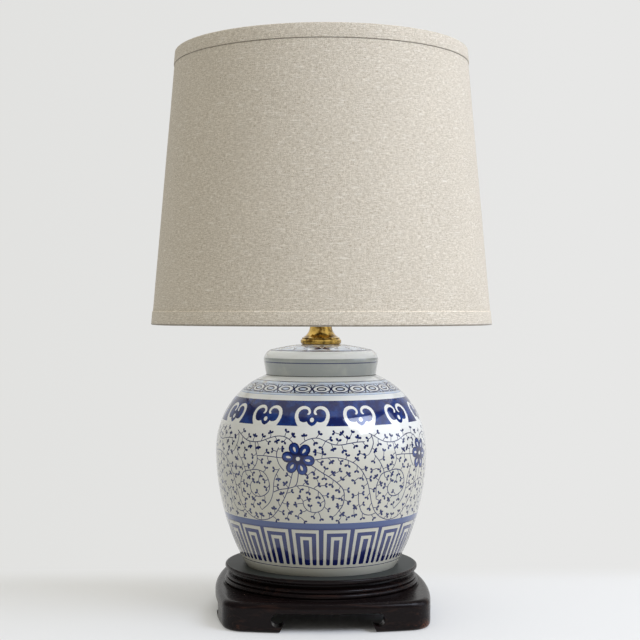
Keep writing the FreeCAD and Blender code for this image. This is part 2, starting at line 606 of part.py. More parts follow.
def hex_nut():
    """Hexagon nut with its corners turned off."""
    corner = NUT_ACROSS_FLATS / math.sqrt(3)
    points = [Vector(corner * math.cos(math.radians(60 * k)), corner * math.sin(math.radians(60 * k)), NUT_Z)
              for k in range(7)]
    prism = Part.Face(Part.makePolygon(points)).extrude(Vector(0, 0, NUT_HEIGHT))
    cone_top = corner - NUT_CHAMFER
    top = NUT_Z + NUT_HEIGHT
    rise = NUT_CHAMFER / 2
    barrel = turned((THREAD_RADIUS, NUT_Z), (cone_top, NUT_Z), (corner, NUT_Z + rise), (corner, top - rise),
                    (cone_top, top), (THREAD_RADIUS, top))
    return prism.common(barrel)


def cord_bush():
    """Plastic bush pushed into the lower end of the rod, where the cord enters."""
    stem = ROD_BORE_RADIUS - THREAD_PLAY / 2
    bottom = ROD_BOTTOM_Z - CORD_BUSH_FLANGE
    top = ROD_BOTTOM_Z + CORD_BUSH_LENGTH
    return turned(
        (CORD_BUSH_BORE_RADIUS, bottom), (CORD_BUSH_FLANGE_RADIUS, bottom),
        (CORD_BUSH_FLANGE_RADIUS, ROD_BOTTOM_Z), (stem, ROD_BOTTOM_Z), (stem, top), (CORD_BUSH_BORE_RADIUS, top))


# ---------------------------------------------------------------- harp

def harp_saddle():
    """Steel band bent up at both ends, with a narrow tongue on each for the leg of the harp."""
    inner = SADDLE_INNER_WIDTH / 2
    outer = inner + SADDLE_METAL
    top = SADDLE_SHOULDER_Z + TONGUE_HEIGHT
    inner_bend = SADDLE_BEND_RADIUS
    outer_bend = SADDLE_BEND_RADIUS + SADDLE_METAL
    centre_z = SADDLE_Z + outer_bend
    centre_x = outer - outer_bend
    face = Part.Face(outline(
        (-centre_x, SADDLE_Z), (centre_x, SADDLE_Z),
        (arc_point((centre_x, centre_z), outer_bend, -45), (outer, centre_z)), (outer, top), (inner, top),
        (inner, centre_z), (arc_point((centre_x, centre_z), inner_bend, -45), (centre_x, SOCKET_Z)),
        (-centre_x, SOCKET_Z), (arc_point((-centre_x, centre_z), inner_bend, -135), (-inner, centre_z)),
        (-inner, top), (-outer, top), (-outer, centre_z),
        (arc_point((-centre_x, centre_z), outer_bend, -135), (-centre_x, SADDLE_Z))))
    face.translate(Vector(0, -SADDLE_BAND_WIDTH / 2, 0))
    band = face.extrude(Vector(0, SADDLE_BAND_WIDTH, 0))
    notch_depth = (SADDLE_BAND_WIDTH - TONGUE_WIDTH) / 2
    for y in (-SADDLE_BAND_WIDTH / 2, TONGUE_WIDTH / 2):
        band = band.cut(Part.makeBox(2 * outer, notch_depth, TONGUE_HEIGHT, Vector(-outer, y, SADDLE_SHOULDER_Z)))
    return band.cut(Part.makeCylinder(THREAD_RADIUS, SADDLE_METAL, Vector(0, 0, SADDLE_Z)))


def harp():
    """Wire harp: straight legs, a flare, long sides and a round crown with a flattened, drilled eye."""
    side = HARP_WIDTH / 2 - HARP_WIRE_RADIUS
    flare = math.radians(HARP_FLARE_DEGREES)
    flare_start = SLEEVE_Z + SLEEVE_LENGTH + SLEEVE_TRAVEL
    leg_top = flare_start + HARP_FLARE_RADIUS * math.tan(flare / 2)
    flare_top = leg_top + (side - HARP_LEG_X) / math.tan(flare)
    right = [Vector(HARP_LEG_X, 0, HARP_FOOT_Z), Vector(HARP_LEG_X, 0, leg_top),
             Vector(side, 0, flare_top), Vector(side, 0, HARP_CROWN_Z)]
    left = [Vector(-p.x, 0, p.z) for p in reversed(right)]
    radii = [HARP_FLARE_RADIUS, HARP_FLARE_RADIUS, HARP_CROWN_RADIUS]
    wire = wire_along(right + left, radii + radii[::-1], HARP_WIRE_RADIUS)
    eye_z = HARP_CROWN_Z - HARP_EYE_THICKNESS / 2
    eye = Part.makeCylinder(HARP_EYE_RADIUS, HARP_EYE_THICKNESS, Vector(0, 0, eye_z))
    crown = Part.makeCylinder(HARP_EYE_RADIUS, 2 * HARP_EYE_THICKNESS, Vector(0, 0, eye_z - HARP_EYE_THICKNESS / 2))
    drill = Part.makeCylinder(SHANK_RADIUS + SLIP / 2, HARP_EYE_THICKNESS, Vector(0, 0, eye_z))
    return wire.cut(crown).fuse(eye).removeSplitter().cut(drill)


def harp_sleeve(side):
    """Locking sleeve that holds one leg of the harp to its tongue. It lifts to let the leg go."""
    outer = SLEEVE_BORE + SLEEVE_WALL
    roll = SLEEVE_ROLL
    top = SLEEVE_Z + SLEEVE_LENGTH
    sleeve = turned(
        (SLEEVE_BORE, SLEEVE_Z), (outer, SLEEVE_Z), (outer, top - 2 * roll),
        ((outer + roll, top - roll), (outer, top)), (SLEEVE_BORE, top))
    sleeve.translate(Vector(side * SLEEVE_X, 0, 0))
    return sleeve


def harp_stud():
    """Stud in the eye of the harp: a peened shank, a seat for the shade and a threaded pin."""
    flange_z = HARP_SEAT_Z - STUD_FLANGE_HEIGHT
    head_z = HARP_CROWN_Z - HARP_EYE_THICKNESS / 2 - THREAD_PLAY
    shoulder_z = flange_z + STUD_FLANGE_HEIGHT / 2
    pin_edge = STUD_RADIUS / 4
    top = HARP_SEAT_Z + STUD_LENGTH
    return turned(
        (0, head_z - SHANK_HEAD_HEIGHT), (SHANK_RADIUS, head_z - SHANK_HEAD_HEIGHT), (SHANK_HEAD_RADIUS, head_z),
        (SHANK_RADIUS, head_z), (SHANK_RADIUS, flange_z), (0.85 * HARP_EYE_RADIUS, flange_z),
        (STUD_FLANGE_RADIUS, shoulder_z), (STUD_FLANGE_RADIUS, HARP_SEAT_Z), (STUD_RADIUS, HARP_SEAT_Z),
        (STUD_RADIUS, top - pin_edge), (STUD_RADIUS - pin_edge, top), (0, top))


# ---------------------------------------------------------------- socket

def socket_cap():
    """Lower brass cap of the socket: a tapped hub, a cone and a skirt that takes the shell."""
    skirt_top = CAP_SKIRT_Z + CAP_SKIRT_HEIGHT
    inner_skirt = CAP_SKIRT_RADIUS - SOCKET_METAL
    cap = turned(
        (THREAD_RADIUS, SOCKET_Z), (CAP_HUB_RADIUS, SOCKET_Z), (CAP_HUB_RADIUS, CAP_CONE_Z),
        (CAP_SKIRT_RADIUS, CAP_SKIRT_Z), (CAP_SKIRT_RADIUS, skirt_top), (inner_skirt, skirt_top),
        (inner_skirt, SHELL_Z), (CAP_HUB_RADIUS, CAP_CONE_Z + SOCKET_METAL), (THREAD_RADIUS, CAP_CONE_Z + SOCKET_METAL))
    grub_hole = Part.makeCylinder(GRUB_SCREW_RADIUS, 2 * CAP_HUB_RADIUS,
                                  Vector(0, 0, SOCKET_Z + CAP_HUB_HEIGHT / 2), Vector(0, 1, 0))
    return cap.cut(grub_hole)


def cap_grub_screw():
    """Set screw that locks the cap on the rod, with a driver slot."""
    reach = ROD_RADIUS + THREAD_PLAY
    centre_z = SOCKET_Z + CAP_HUB_HEIGHT / 2
    body = Part.makeCylinder(GRUB_SCREW_RADIUS - THREAD_PLAY / 2, GRUB_SCREW_LENGTH, Vector(0, reach, centre_z),
                             Vector(0, 1, 0))
    slot = GRUB_SCREW_RADIUS / 4
    cut = Part.makeBox(2 * GRUB_SCREW_RADIUS, 2 * slot, 2 * slot,
                       Vector(-GRUB_SCREW_RADIUS, reach + GRUB_SCREW_LENGTH - 2 * slot, centre_z - slot))
    return body.cut(cut)


def cap_insulator():
    """Cone of card between the cap and the switch body."""
    inner = CAP_HUB_RADIUS
    outer = SWITCH_BODY_RADIUS
    low = CAP_CONE_Z + SOCKET_METAL
    skirt_inner = CAP_SKIRT_RADIUS - SOCKET_METAL
    slope = (SHELL_Z - low) / (skirt_inner - CAP_HUB_RADIUS)
    rise = slope * (outer - inner)
    return turned((inner, low), (outer, low + rise), (outer, SWITCH_BODY_Z), (outer - CAP_CARD, SWITCH_BODY_Z),
                  (inner, low + CAP_CARD + CAP_CARD * slope))


def key_hole(radius):
    """Round hole for the shaft of the key, through whatever wall faces the front."""
    return Part.makeCylinder(radius, 2 * SOCKET_SHELL_RADIUS, Vector(0, 0, KEY_Z), Vector(0, -1, 0))


def socket_shell():
    """Upper brass shell of the socket, with a rolled rim and the hole for the key."""
    inner = SOCKET_SHELL_RADIUS - SOCKET_METAL
    roll = SOCKET_RIM_ROLL
    shell = turned(
        (inner, SHELL_Z), (SOCKET_SHELL_RADIUS, SHELL_Z), (SOCKET_SHELL_RADIUS, SHELL_TOP_Z - 2 * roll),
        ((SOCKET_SHELL_RADIUS + roll, SHELL_TOP_Z - roll), (SOCKET_SHELL_RADIUS, SHELL_TOP_Z)), (inner, SHELL_TOP_Z))
    return shell.cut(key_hole(KEY_COLLAR_RADIUS + SLIP))


def socket_liner():
    """Card tube that insulates the shell."""
    card = tube(LINER_RADIUS, LINER_RADIUS - LINER_CARD, SHELL_Z, SOCKET_SHELL_HEIGHT - LINER_SHORTER)
    return card.cut(key_hole(KEY_COLLAR_RADIUS + SLIP))


def switch_body():
    """Moulded body of the rotary switch, with a bore for the key and a recess for each terminal."""
    body = tube(SWITCH_BODY_RADIUS, CORD_BUSH_BORE_RADIUS, SWITCH_BODY_Z, SWITCH_BODY_HEIGHT)
    bore = Part.makeCylinder(KEY_SHAFT_RADIUS + RUN_PLAY, SWITCH_BODY_RADIUS, Vector(0, 0, KEY_Z), Vector(0, -1, 0))
    body = body.cut(bore)
    depth = 2 * TERMINAL_HEAD
    pocket = Part.makeBox(2 * depth, 3 * TERMINAL_RADIUS, 3 * TERMINAL_RADIUS,
                          Vector(SWITCH_BODY_RADIUS - depth, -1.5 * TERMINAL_RADIUS,
                                 SWITCH_BODY_Z + TERMINAL_HEIGHT - 1.5 * TERMINAL_RADIUS))
    return body.cut(place_around(pocket, 2))


def terminal_screws():
    """Two terminal screws, brass and nickel, in the sides of the switch body."""
    seat = SWITCH_BODY_RADIUS - 2 * TERMINAL_HEAD
    centre_z = SWITCH_BODY_Z + TERMINAL_HEIGHT
    head = Part.makeCylinder(TERMINAL_RADIUS, TERMINAL_HEAD, Vector(seat, 0, centre_z), Vector(1, 0, 0))
    slot = TERMINAL_HEAD / 4
    cut = Part.makeBox(2 * slot, 2 * TERMINAL_RADIUS, 2 * slot,
                       Vector(seat + TERMINAL_HEAD - 2 * slot, -TERMINAL_RADIUS, centre_z - slot))
    return Part.makeCompound(place_around(head.cut(cut), 2))


def screw_shell():
    """Metal cup that takes the base of the bulb, on the switch body."""
    inner = SCREW_SHELL_RADIUS - SCREW_SHELL_METAL
    hole = math.hypot(CONTACT_LENGTH / 2, CONTACT_WIDTH / 2) + SLIP
    return turned(
        (hole, CONTACT_Z), (SCREW_SHELL_RADIUS, CONTACT_Z), (SCREW_SHELL_RADIUS, CONTACT_Z + SCREW_SHELL_HEIGHT),
        (inner, CONTACT_Z + SCREW_SHELL_HEIGHT), (inner, CONTACT_Z + SCREW_SHELL_METAL),
        (hole, CONTACT_Z + SCREW_SHELL_METAL))


def centre_contact():
    """Sprung brass leaf in the floor of the socket that meets the tip of the bulb."""
    half = CONTACT_LENGTH / 2
    foot = half / 2
    top = CONTACT_Z + CONTACT_RISE + CONTACT_METAL
    face = Part.Face(outline(
        (-half, CONTACT_Z), (-foot, CONTACT_Z), (-foot / 2, top - CONTACT_METAL), (foot, top - CONTACT_METAL),
        (foot, top), (-foot / 2 - CONTACT_METAL / 2, top), (-foot - CONTACT_METAL / 2, CONTACT_Z + CONTACT_METAL),
        (-half, CONTACT_Z + CONTACT_METAL)))
    face.translate(Vector(0, -CONTACT_WIDTH / 2, 0))
    return face.extrude(Vector(0, CONTACT_WIDTH, 0))


def switch_key_shaft():
    """Brass shaft of the key, with a collar that fills the hole in the shell."""
    start = SWITCH_BODY_RADIUS / 2
    end = SOCKET_SHELL_RADIUS + KEY_SHAFT_REACH
    collar_start = LINER_RADIUS
    shaft = Part.makeCylinder(KEY_SHAFT_RADIUS, end - start, Vector(0, -start, KEY_Z), Vector(0, -1, 0))
    collar = Part.makeCylinder(KEY_COLLAR_RADIUS, KEY_COLLAR_LENGTH + SOCKET_SHELL_RADIUS - collar_start,
                               Vector(0, -collar_start, KEY_Z), Vector(0, -1, 0))
    return shaft.fuse(collar).removeSplitter()


def switch_knob():
    """Fluted plastic knob on the end of the key shaft."""
    shaft_end = SOCKET_SHELL_RADIUS + KEY_SHAFT_REACH
    start = shaft_end - KNOB_OVERLAP
    blank = turned(
        (0, 0), (KNOB_RADIUS - KNOB_EDGE, 0), (KNOB_RADIUS, KNOB_EDGE), (KNOB_RADIUS, KNOB_LENGTH - KNOB_EDGE),
        (KNOB_RADIUS - KNOB_EDGE, KNOB_LENGTH), (0, KNOB_LENGTH))
    flute = Part.makeCylinder(KNOB_FLUTE_RADIUS, KNOB_LENGTH, Vector(KNOB_RADIUS + KNOB_FLUTE_RADIUS / 3, 0, 0))
    knob = blank.cut(place_around(flute, KNOB_FLUTES))
    knob = knob.cut(Part.makeCylinder(KEY_SHAFT_RADIUS, KNOB_OVERLAP))
    knob.rotate(Vector(0, 0, 0), Vector(1, 0, 0), 90)
    knob.translate(Vector(0, -start, KEY_Z))
    return knob


# ---------------------------------------------------------------- bulb

def bulb_tip():
    """Centre contact of the bulb."""
    return turned((0, BULB_Z), (BULB_TIP_RADIUS * 0.7, BULB_Z), (BULB_TIP_RADIUS, BULB_CONE_Z), (0, BULB_CONE_Z))


def bulb_insulator():
    """Glass cone between the tip and the screw base."""
    return turned((0, BULB_CONE_Z), (BULB_TIP_RADIUS, BULB_CONE_Z), (BULB_BASE_RADIUS - SLIP, BULB_BASE_Z),
                  (0, BULB_BASE_Z))


def bulb_base():
    """Metal screw base of the bulb."""
    inner = BULB_BASE_RADIUS - BULB_BASE_METAL
    return tube(BULB_BASE_RADIUS, inner, BULB_BASE_Z, BULB_BASE_HEIGHT)


def bulb_glass():
    """Pear-shaped glass of the bulb, its neck sunk in the screw base."""
    sweep = (BULB_NECK_RADIUS + BULB_SWEEP_RADIUS, BULB_SWEEP_Z)
    ball = (0, BULB_CENTRE_Z)
    share = BULB_RADIUS / (BULB_RADIUS + BULB_SWEEP_RADIUS)
    join_angle = math.degrees(math.atan2(sweep[1] - ball[1], sweep[0]))
    join = (sweep[0] * share, ball[1] + (sweep[1] - ball[1]) * share)
    neck = (BULB_NECK_RADIUS, BULB_SWEEP_Z)
    inner_ball = BULB_RADIUS - BULB_GLASS
    inner_join = arc_point(ball, inner_ball, join_angle)
    inner_neck = (BULB_NECK_RADIUS - BULB_GLASS, BULB_SWEEP_Z)
    inner_sweep = BULB_SWEEP_RADIUS + BULB_GLASS
    bottom = BULB_BASE_TOP_Z - BULB_NECK_SUNK
    upper = (90 + join_angle) / 2
    return turned(
        (BULB_NECK_RADIUS - BULB_GLASS, bottom), (BULB_NECK_RADIUS, bottom), neck,
        (arc_middle(sweep, BULB_SWEEP_RADIUS, neck, join), join),
        (arc_point(ball, BULB_RADIUS, upper), (0, BULB_CENTRE_Z + BULB_RADIUS)),
        (0, BULB_CENTRE_Z + inner_ball), (arc_point(ball, inner_ball, upper), inner_join),
        (arc_middle(sweep, inner_sweep, inner_join, inner_neck), inner_neck))


# ---------------------------------------------------------------- shade

def on_cone(down, out):
    """Point (radius, z) at a distance down the slant from the top edge, and out from the linen's face."""
    sin, cos = math.sin(SHADE_LEAN), math.cos(SHADE_LEAN)
    return (SHADE_TOP_RADIUS + down * sin + out * cos, SHADE_TOP_Z - down * cos + out * sin)


def cone_layer(out, inward, start=0.0, end=SHADE_SLANT, degrees=360):
    """Layer of the cone between two offsets from the linen's face."""
    face = Part.Face(outline(on_cone(start, inward), on_cone(start, out), on_cone(end, out), on_cone(end, inward)))
    return face.revolve(Vector(0, 0, 0), Vector(0, 0, 1), degrees)


def shade_linen():
    """Linen cone with its glued lap seam at the back."""
    cloth = cone_layer(0, -LINEN)
    lap_degrees = math.degrees(SEAM_LAP / SHADE_BOTTOM_RADIUS)
    lap = cone_layer(SEAM_THICKNESS, -LINEN / 2, TRIM_FACE, SHADE_SLANT - TRIM_FACE, lap_degrees)
    lap.rotate(Vector(0, 0, 0), Vector(0, 0, 1), 90 - lap_degrees / 2)
    return cloth.fuse(lap).removeSplitter()


def shade_liner():
    """Stiff plastic cone that the linen is laminated on."""
    return cone_layer(-LINEN, -LINEN - LINER)


def ring_depth():
    """How far a wire ring's middle lies inside the linen's face."""
    return LINEN + LINER + THREAD_PLAY + RING_WIRE_RADIUS


def edge_trim(edge, way):
    """Folded linen tape round an edge of the shade and the wire ring inside it. way is +1 down, -1 up."""
    back = -LINEN - LINER
    pocket = back - 2 * (RING_WIRE_RADIUS + THREAD_PLAY)
    cloth = TRIM_CLOTH
    ring_end = 2 * (RING_WIRE_RADIUS + THREAD_PLAY)

    def at(down, out):
        return on_cone(edge + way * down, out)

    return turned(
        at(TRIM_FACE, 0), at(TRIM_FACE, cloth), at(0, cloth), at(-cloth, 0), at(-cloth, pocket),
        at(0, pocket - cloth), at(ring_end, pocket - cloth), at(TRIM_BACK, back - cloth), at(TRIM_BACK, back),
        at(ring_end + cloth, back), at(ring_end, pocket), at(0, pocket), at(0, 0))


def top_trim():
    """Tape of the top edge, notched where the arms of the spider pass under it."""
    start = spider_arm_start() + Vector(THREAD_PLAY, 0, 0)
    notch = Part.makeCylinder(SPIDER_WIRE_RADIUS + THREAD_PLAY, SPIDER_SHELF, start, Vector(-1, 0, 0))
    return edge_trim(0.0, 1).cut(place_around(notch, SPIDER_ARMS, 90))


def wire_ring(down):
    """Wire ring just inside an edge of the shade."""
    radius, z = on_cone(down, -ring_depth())
    return Part.makeTorus(radius, RING_WIRE_RADIUS, Vector(0, 0, z))


def ring_inset():
    """Distance of a ring's middle from the edge of the shade, along the slant."""
    return RING_WIRE_RADIUS + THREAD_PLAY


def spider_arm_start():
    """Middle of the end of an arm, under the inner side of the top ring."""
    ring_radius, ring_z = on_cone(ring_inset(), -ring_depth())
    return Vector(ring_radius, 0, ring_z - RING_WIRE_RADIUS - SPIDER_WIRE_RADIUS - THREAD_PLAY)


def spider_arms():
    """Three arms that drop from the top ring to the washer on the harp."""
    hub_z = WASHER_Z + WASHER_THICKNESS / 2
    start = spider_arm_start()
    shelf = Vector(start.x - SPIDER_SHELF, 0, start.z)
    dip = Vector(WASHER_RADIUS + SPIDER_HUB_REACH, 0, hub_z)
    end = Vector(WASHER_RADIUS, 0, hub_z)
    arm = wire_along([start, shelf, dip, end], [SPIDER_BEND_RADIUS, SPIDER_BEND_RADIUS], SPIDER_WIRE_RADIUS)
    return Part.makeCompound(place_around(arm, SPIDER_ARMS, 90))


def spider_washer():
    """Washer at the middle of the spider, held on the harp by the finial."""
    return tube(WASHER_RADIUS, STUD_RADIUS + RUN_PLAY, WASHER_Z, WASHER_THICKNESS)


# ---------------------------------------------------------------- finial

def finial_insert():
    """Tapped brass insert of the finial."""
    return tube(FINIAL_INSERT_RADIUS, STUD_RADIUS + THREAD_PLAY, FINIAL_Z, FINIAL_INSERT_LENGTH)


def finial_knob():
    """Turned brass finial: a foot, a stem and a ball, over its insert."""
    stem_top = FINIAL_Z + FINIAL_STEM_HEIGHT
    ball_z = stem_top + drop_of_arc(FINIAL_BALL_RADIUS, FINIAL_STEM_RADIUS)
    foot_top = FINIAL_Z + FINIAL_FOOT_HEIGHT
    bore_top = FINIAL_Z + FINIAL_INSERT_LENGTH
    return turned(
        (FINIAL_INSERT_RADIUS, FINIAL_Z), (FINIAL_FOOT_RADIUS, FINIAL_Z), (FINIAL_FOOT_RADIUS, foot_top),
        (FINIAL_STEM_RADIUS, foot_top + (FINIAL_FOOT_RADIUS - FINIAL_STEM_RADIUS) / 2),
        (FINIAL_STEM_RADIUS, stem_top), ((FINIAL_BALL_RADIUS, ball_z), (0, ball_z + FINIAL_BALL_RADIUS)),
        (0, bore_top), (FINIAL_INSERT_RADIUS, bore_top))


# ---------------------------------------------------------------- the lamp

def lamp():
    """Every piece of the lamp by its name."""
    return {
        "stand_plinth": stand_plinth(),
        "stand_waist": stand_waist(),
        "stand_plate": stand_plate(),
        "jar_body": jar_body(),
        "jar_grommet": jar_grommet(),
        "jar_lid": jar_lid(),
        "lid_grommet": lid_grommet(),
        "neck_ring": neck_ring(),
        "brass_neck": brass_neck(),
        "centre_rod": centre_rod(),
        "flat_washer": flat_washer(),
        "tooth_washer": tooth_washer(),
        "hex_nut": hex_nut(),
        "cord_bush": cord_bush(),
        "harp_saddle": harp_saddle(),
        "harp": harp(),
        "harp_sleeve_left": harp_sleeve(-1),
        "harp_sleeve_right": harp_sleeve(1),
        "harp_stud": harp_stud(),
        "socket_cap": socket_cap(),
        "cap_grub_screw": cap_grub_screw(),
        "cap_insulator": cap_insulator(),
        "socket_shell": socket_shell(),
        "socket_liner": socket_liner(),
        "switch_body": switch_body(),
        "terminal_screws": terminal_screws(),
        "screw_shell": screw_shell(),
        "centre_contact": centre_contact(),
        "switch_key_shaft": switch_key_shaft(),
        "switch_knob": switch_knob(),
        "bulb_tip": bulb_tip(),
        "bulb_insulator": bulb_insulator(),
        "bulb_base": bulb_base(),
        "bulb_glass": bulb_glass(),
        "shade_linen": shade_linen(),
        "shade_liner": shade_liner(),
        "shade_top_trim": top_trim(),
        "shade_bottom_trim": edge_trim(SHADE_SLANT, -1),
        "shade_top_ring": wire_ring(ring_inset()),
        "shade_bottom_ring": wire_ring(SHADE_SLANT - ring_inset()),
        "spider_arms": spider_arms(),
        "spider_washer": spider_washer(),
        "finial_insert": finial_insert(),
        "finial_knob": finial_knob(),
    }


os.makedirs("parts", exist_ok=True)
for name, shape in lamp().items():
    solids = shape.Solids
    whole = solids[0] if len(solids) == 1 else Part.makeCompound(solids)
    whole.exportStep(os.path.join("parts", name + ".step"))
    print(f"{name}: {len(solids)} solid(s), {whole.Volume / 1000:.2f} cm3, valid {whole.isValid()}")
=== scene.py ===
"""Looks of a ginger jar table lamp: painted porcelain, turned wood, brass and a linen shade, round the frame."""
import math
import random
from bisect import bisect_right

import bmesh
import bpy
from bpy.props import FloatProperty, FloatVectorProperty, IntProperty, PointerProperty
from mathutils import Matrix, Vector
from mathutils.geometry import delaunay_2d_cdt


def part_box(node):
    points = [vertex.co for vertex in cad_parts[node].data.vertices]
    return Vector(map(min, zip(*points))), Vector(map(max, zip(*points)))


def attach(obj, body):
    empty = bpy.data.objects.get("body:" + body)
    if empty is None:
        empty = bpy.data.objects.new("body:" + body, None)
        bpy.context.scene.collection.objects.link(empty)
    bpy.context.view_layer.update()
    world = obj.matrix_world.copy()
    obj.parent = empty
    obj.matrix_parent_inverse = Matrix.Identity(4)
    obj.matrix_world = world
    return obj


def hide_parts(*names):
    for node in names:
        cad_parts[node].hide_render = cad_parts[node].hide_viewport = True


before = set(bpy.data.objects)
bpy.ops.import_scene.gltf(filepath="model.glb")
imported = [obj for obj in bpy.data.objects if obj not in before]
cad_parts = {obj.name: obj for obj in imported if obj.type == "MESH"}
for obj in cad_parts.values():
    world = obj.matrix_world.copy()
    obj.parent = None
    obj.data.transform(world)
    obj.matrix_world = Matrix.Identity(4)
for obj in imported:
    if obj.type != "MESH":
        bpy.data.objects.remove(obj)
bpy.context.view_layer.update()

bl_info = {
    "name": "Ginger Jar Lamp",
    "version": (1, 0, 0),
    "blender": (4, 5, 0),
    "location": "View3D > Sidebar > Lamp",
    "description": "Paints and dresses a blue and white ginger jar table lamp",
    "category": "Add Mesh",
}

MM = 0.001

# --- shape of the lamp, in millimetres

JAR_FOOT_RADIUS, JAR_BELLY_RADIUS, JAR_SHOULDER_ARC = 78.0, 110.3, 83.7
JAR_FOOT_Z, JAR_BELLY_Z = 46.5, 168.2
JAR_WALL, JAR_FOOT_EDGE, JAR_COLLAR_RADIUS, JAR_COLLAR_HEIGHT = 6.0, 1.6, 50.0, 15.0
JAR_HOLE_RADIUS, JAR_FLOOR_Z, JAR_RECESS_Z, JAR_RING_INNER = 6.8, 57.5, 50.5, 69.0
LEDGE_RADIUS = 58.2
LID_RIM_RADIUS, LID_WIDEST_RADIUS, LID_SIDE, LID_EDGE = 57.6, 60.0, 14.2, 11.0
LID_DOME, LID_WALL, LID_BOSS = 220.0, 4.5, 22.5
SHADE_TOP_RADIUS, SHADE_BOTTOM_RADIUS, SHADE_HEIGHT = 152.4, 177.0, 283.0
LINEN, LINER, TRIM_FACE, TRIM_BACK, TRIM_CLOTH, RING_POCKET = 0.8, 0.6, 13.5, 9.0, 0.7, 3.2
LAP_WIDTH, LAP_THICKNESS, SNIP = 12.0, 0.5, 1.8
COLUMNS = 180            # facets round the jar and the lid
MM_PER_DEGREE = 1.92     # width of one degree at the belly of the jar
FRONT = -3.8             # degrees from the front of the stand to the middle of the painting


def rise(radius, reach):
    """Height of a circle of that radius above its middle, at a distance from its middle."""
    return math.sqrt(radius ** 2 - reach ** 2)


LEDGE_Z = JAR_BELLY_Z + rise(JAR_SHOULDER_ARC, LEDGE_RADIUS - JAR_BELLY_RADIUS + JAR_SHOULDER_ARC)
SHADE_TOP_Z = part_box("shade_linen")[1].z / MM
SHADE_LEAN = math.atan2(SHADE_BOTTOM_RADIUS - SHADE_TOP_RADIUS, SHADE_HEIGHT)
SHADE_SLANT = math.hypot(SHADE_HEIGHT, SHADE_BOTTOM_RADIUS - SHADE_TOP_RADIUS)


def tint(*rgb):
    """Scene-linear colour of red, green and blue from 0 to 255."""
    return tuple(c / 255 / 12.92 if c <= 10 else ((c / 255 + 0.055) / 1.055) ** 2.4 for c in rgb)


def colour(name, description, *rgb):
    """A colour property."""
    return FloatVectorProperty(name=name, description=description, subtype="COLOR", size=3, min=0, max=1,
                               default=tint(*rgb))


# --- finishes

class Socket:
    """The output of a node. Sums and products of sockets add Math nodes to their finish."""

    def __init__(self, finish, socket):
        self.finish, self.socket = finish, socket

    def math(self, operation, *values):
        return self.finish.node("ShaderNodeMath", {"operation": operation}, dict(enumerate(values)))

    def __add__(self, other):
        return self.math("ADD", self, other)

    def __sub__(self, other):
        return self.math("SUBTRACT", self, other)

    def __rsub__(self, other):
        return self.math("SUBTRACT", other, self)

    def __mul__(self, other):
        return self.math("MULTIPLY", self, other)

    def __truediv__(self, other):
        return self.math("DIVIDE", self, other)

    def __pow__(self, other):
        return self.math("POWER", self, other)

    __radd__ = __add__
    __rmul__ = __mul__


class Nodes:
    """A node tree and the calls that write its nodes."""

    def __init__(self, tree):
        self.tree = tree

    def node(self, kind, settings=None, inputs=None, output=0):
        """Adds a node, sets its settings and then its inputs, and gives back one of its outputs."""
        node = self.tree.nodes.new(kind)
        for name, value in (settings or {}).items():
            setattr(node, name, value)
        self.feed(node, inputs or {})
        return Socket(self, node.outputs[output])

    def feed(self, node, inputs):
        """Links or sets the inputs of a node."""
        for name, value in inputs.items():
            if isinstance(value, Socket):
                self.tree.links.new(value.socket, node.inputs[name])
            elif hasattr(value, "__len__") and node.inputs[name].type == "RGBA":
                node.inputs[name].default_value = (*value, 1) if len(value) == 3 else value
            else:
                node.inputs[name].default_value = value

    def parts(self, vector):
        """The three components of a vector."""
        first = self.node("ShaderNodeSeparateXYZ", {}, {"Vector": vector})
        outputs = first.socket.node.outputs
        return first, Socket(self, outputs[1]), Socket(self, outputs[2])

    def span(self, value, low, high, to_low=0.0, to_high=1.0):
        """A value brought from one range to another, and held inside it."""
        return self.node("ShaderNodeMapRange", {}, {"Value": value, "From Min": low, "From Max": high,
                                                    "To Min": to_low, "To Max": to_high})

    def ease(self, value, low, high):
        """0 below low, 1 above high and smooth between them."""
        return self.node("ShaderNodeMapRange", {"interpolation_type": "SMOOTHSTEP"},
                         {"Value": value, "From Min": low, "From Max": high})

    def blend(self, factor, one, other):
        """One colour where the factor is 0, the other where it is 1."""
        return self.node("ShaderNodeMix", {"data_type": "RGBA"}, {0: factor, 6: one, 7: other}, 2)


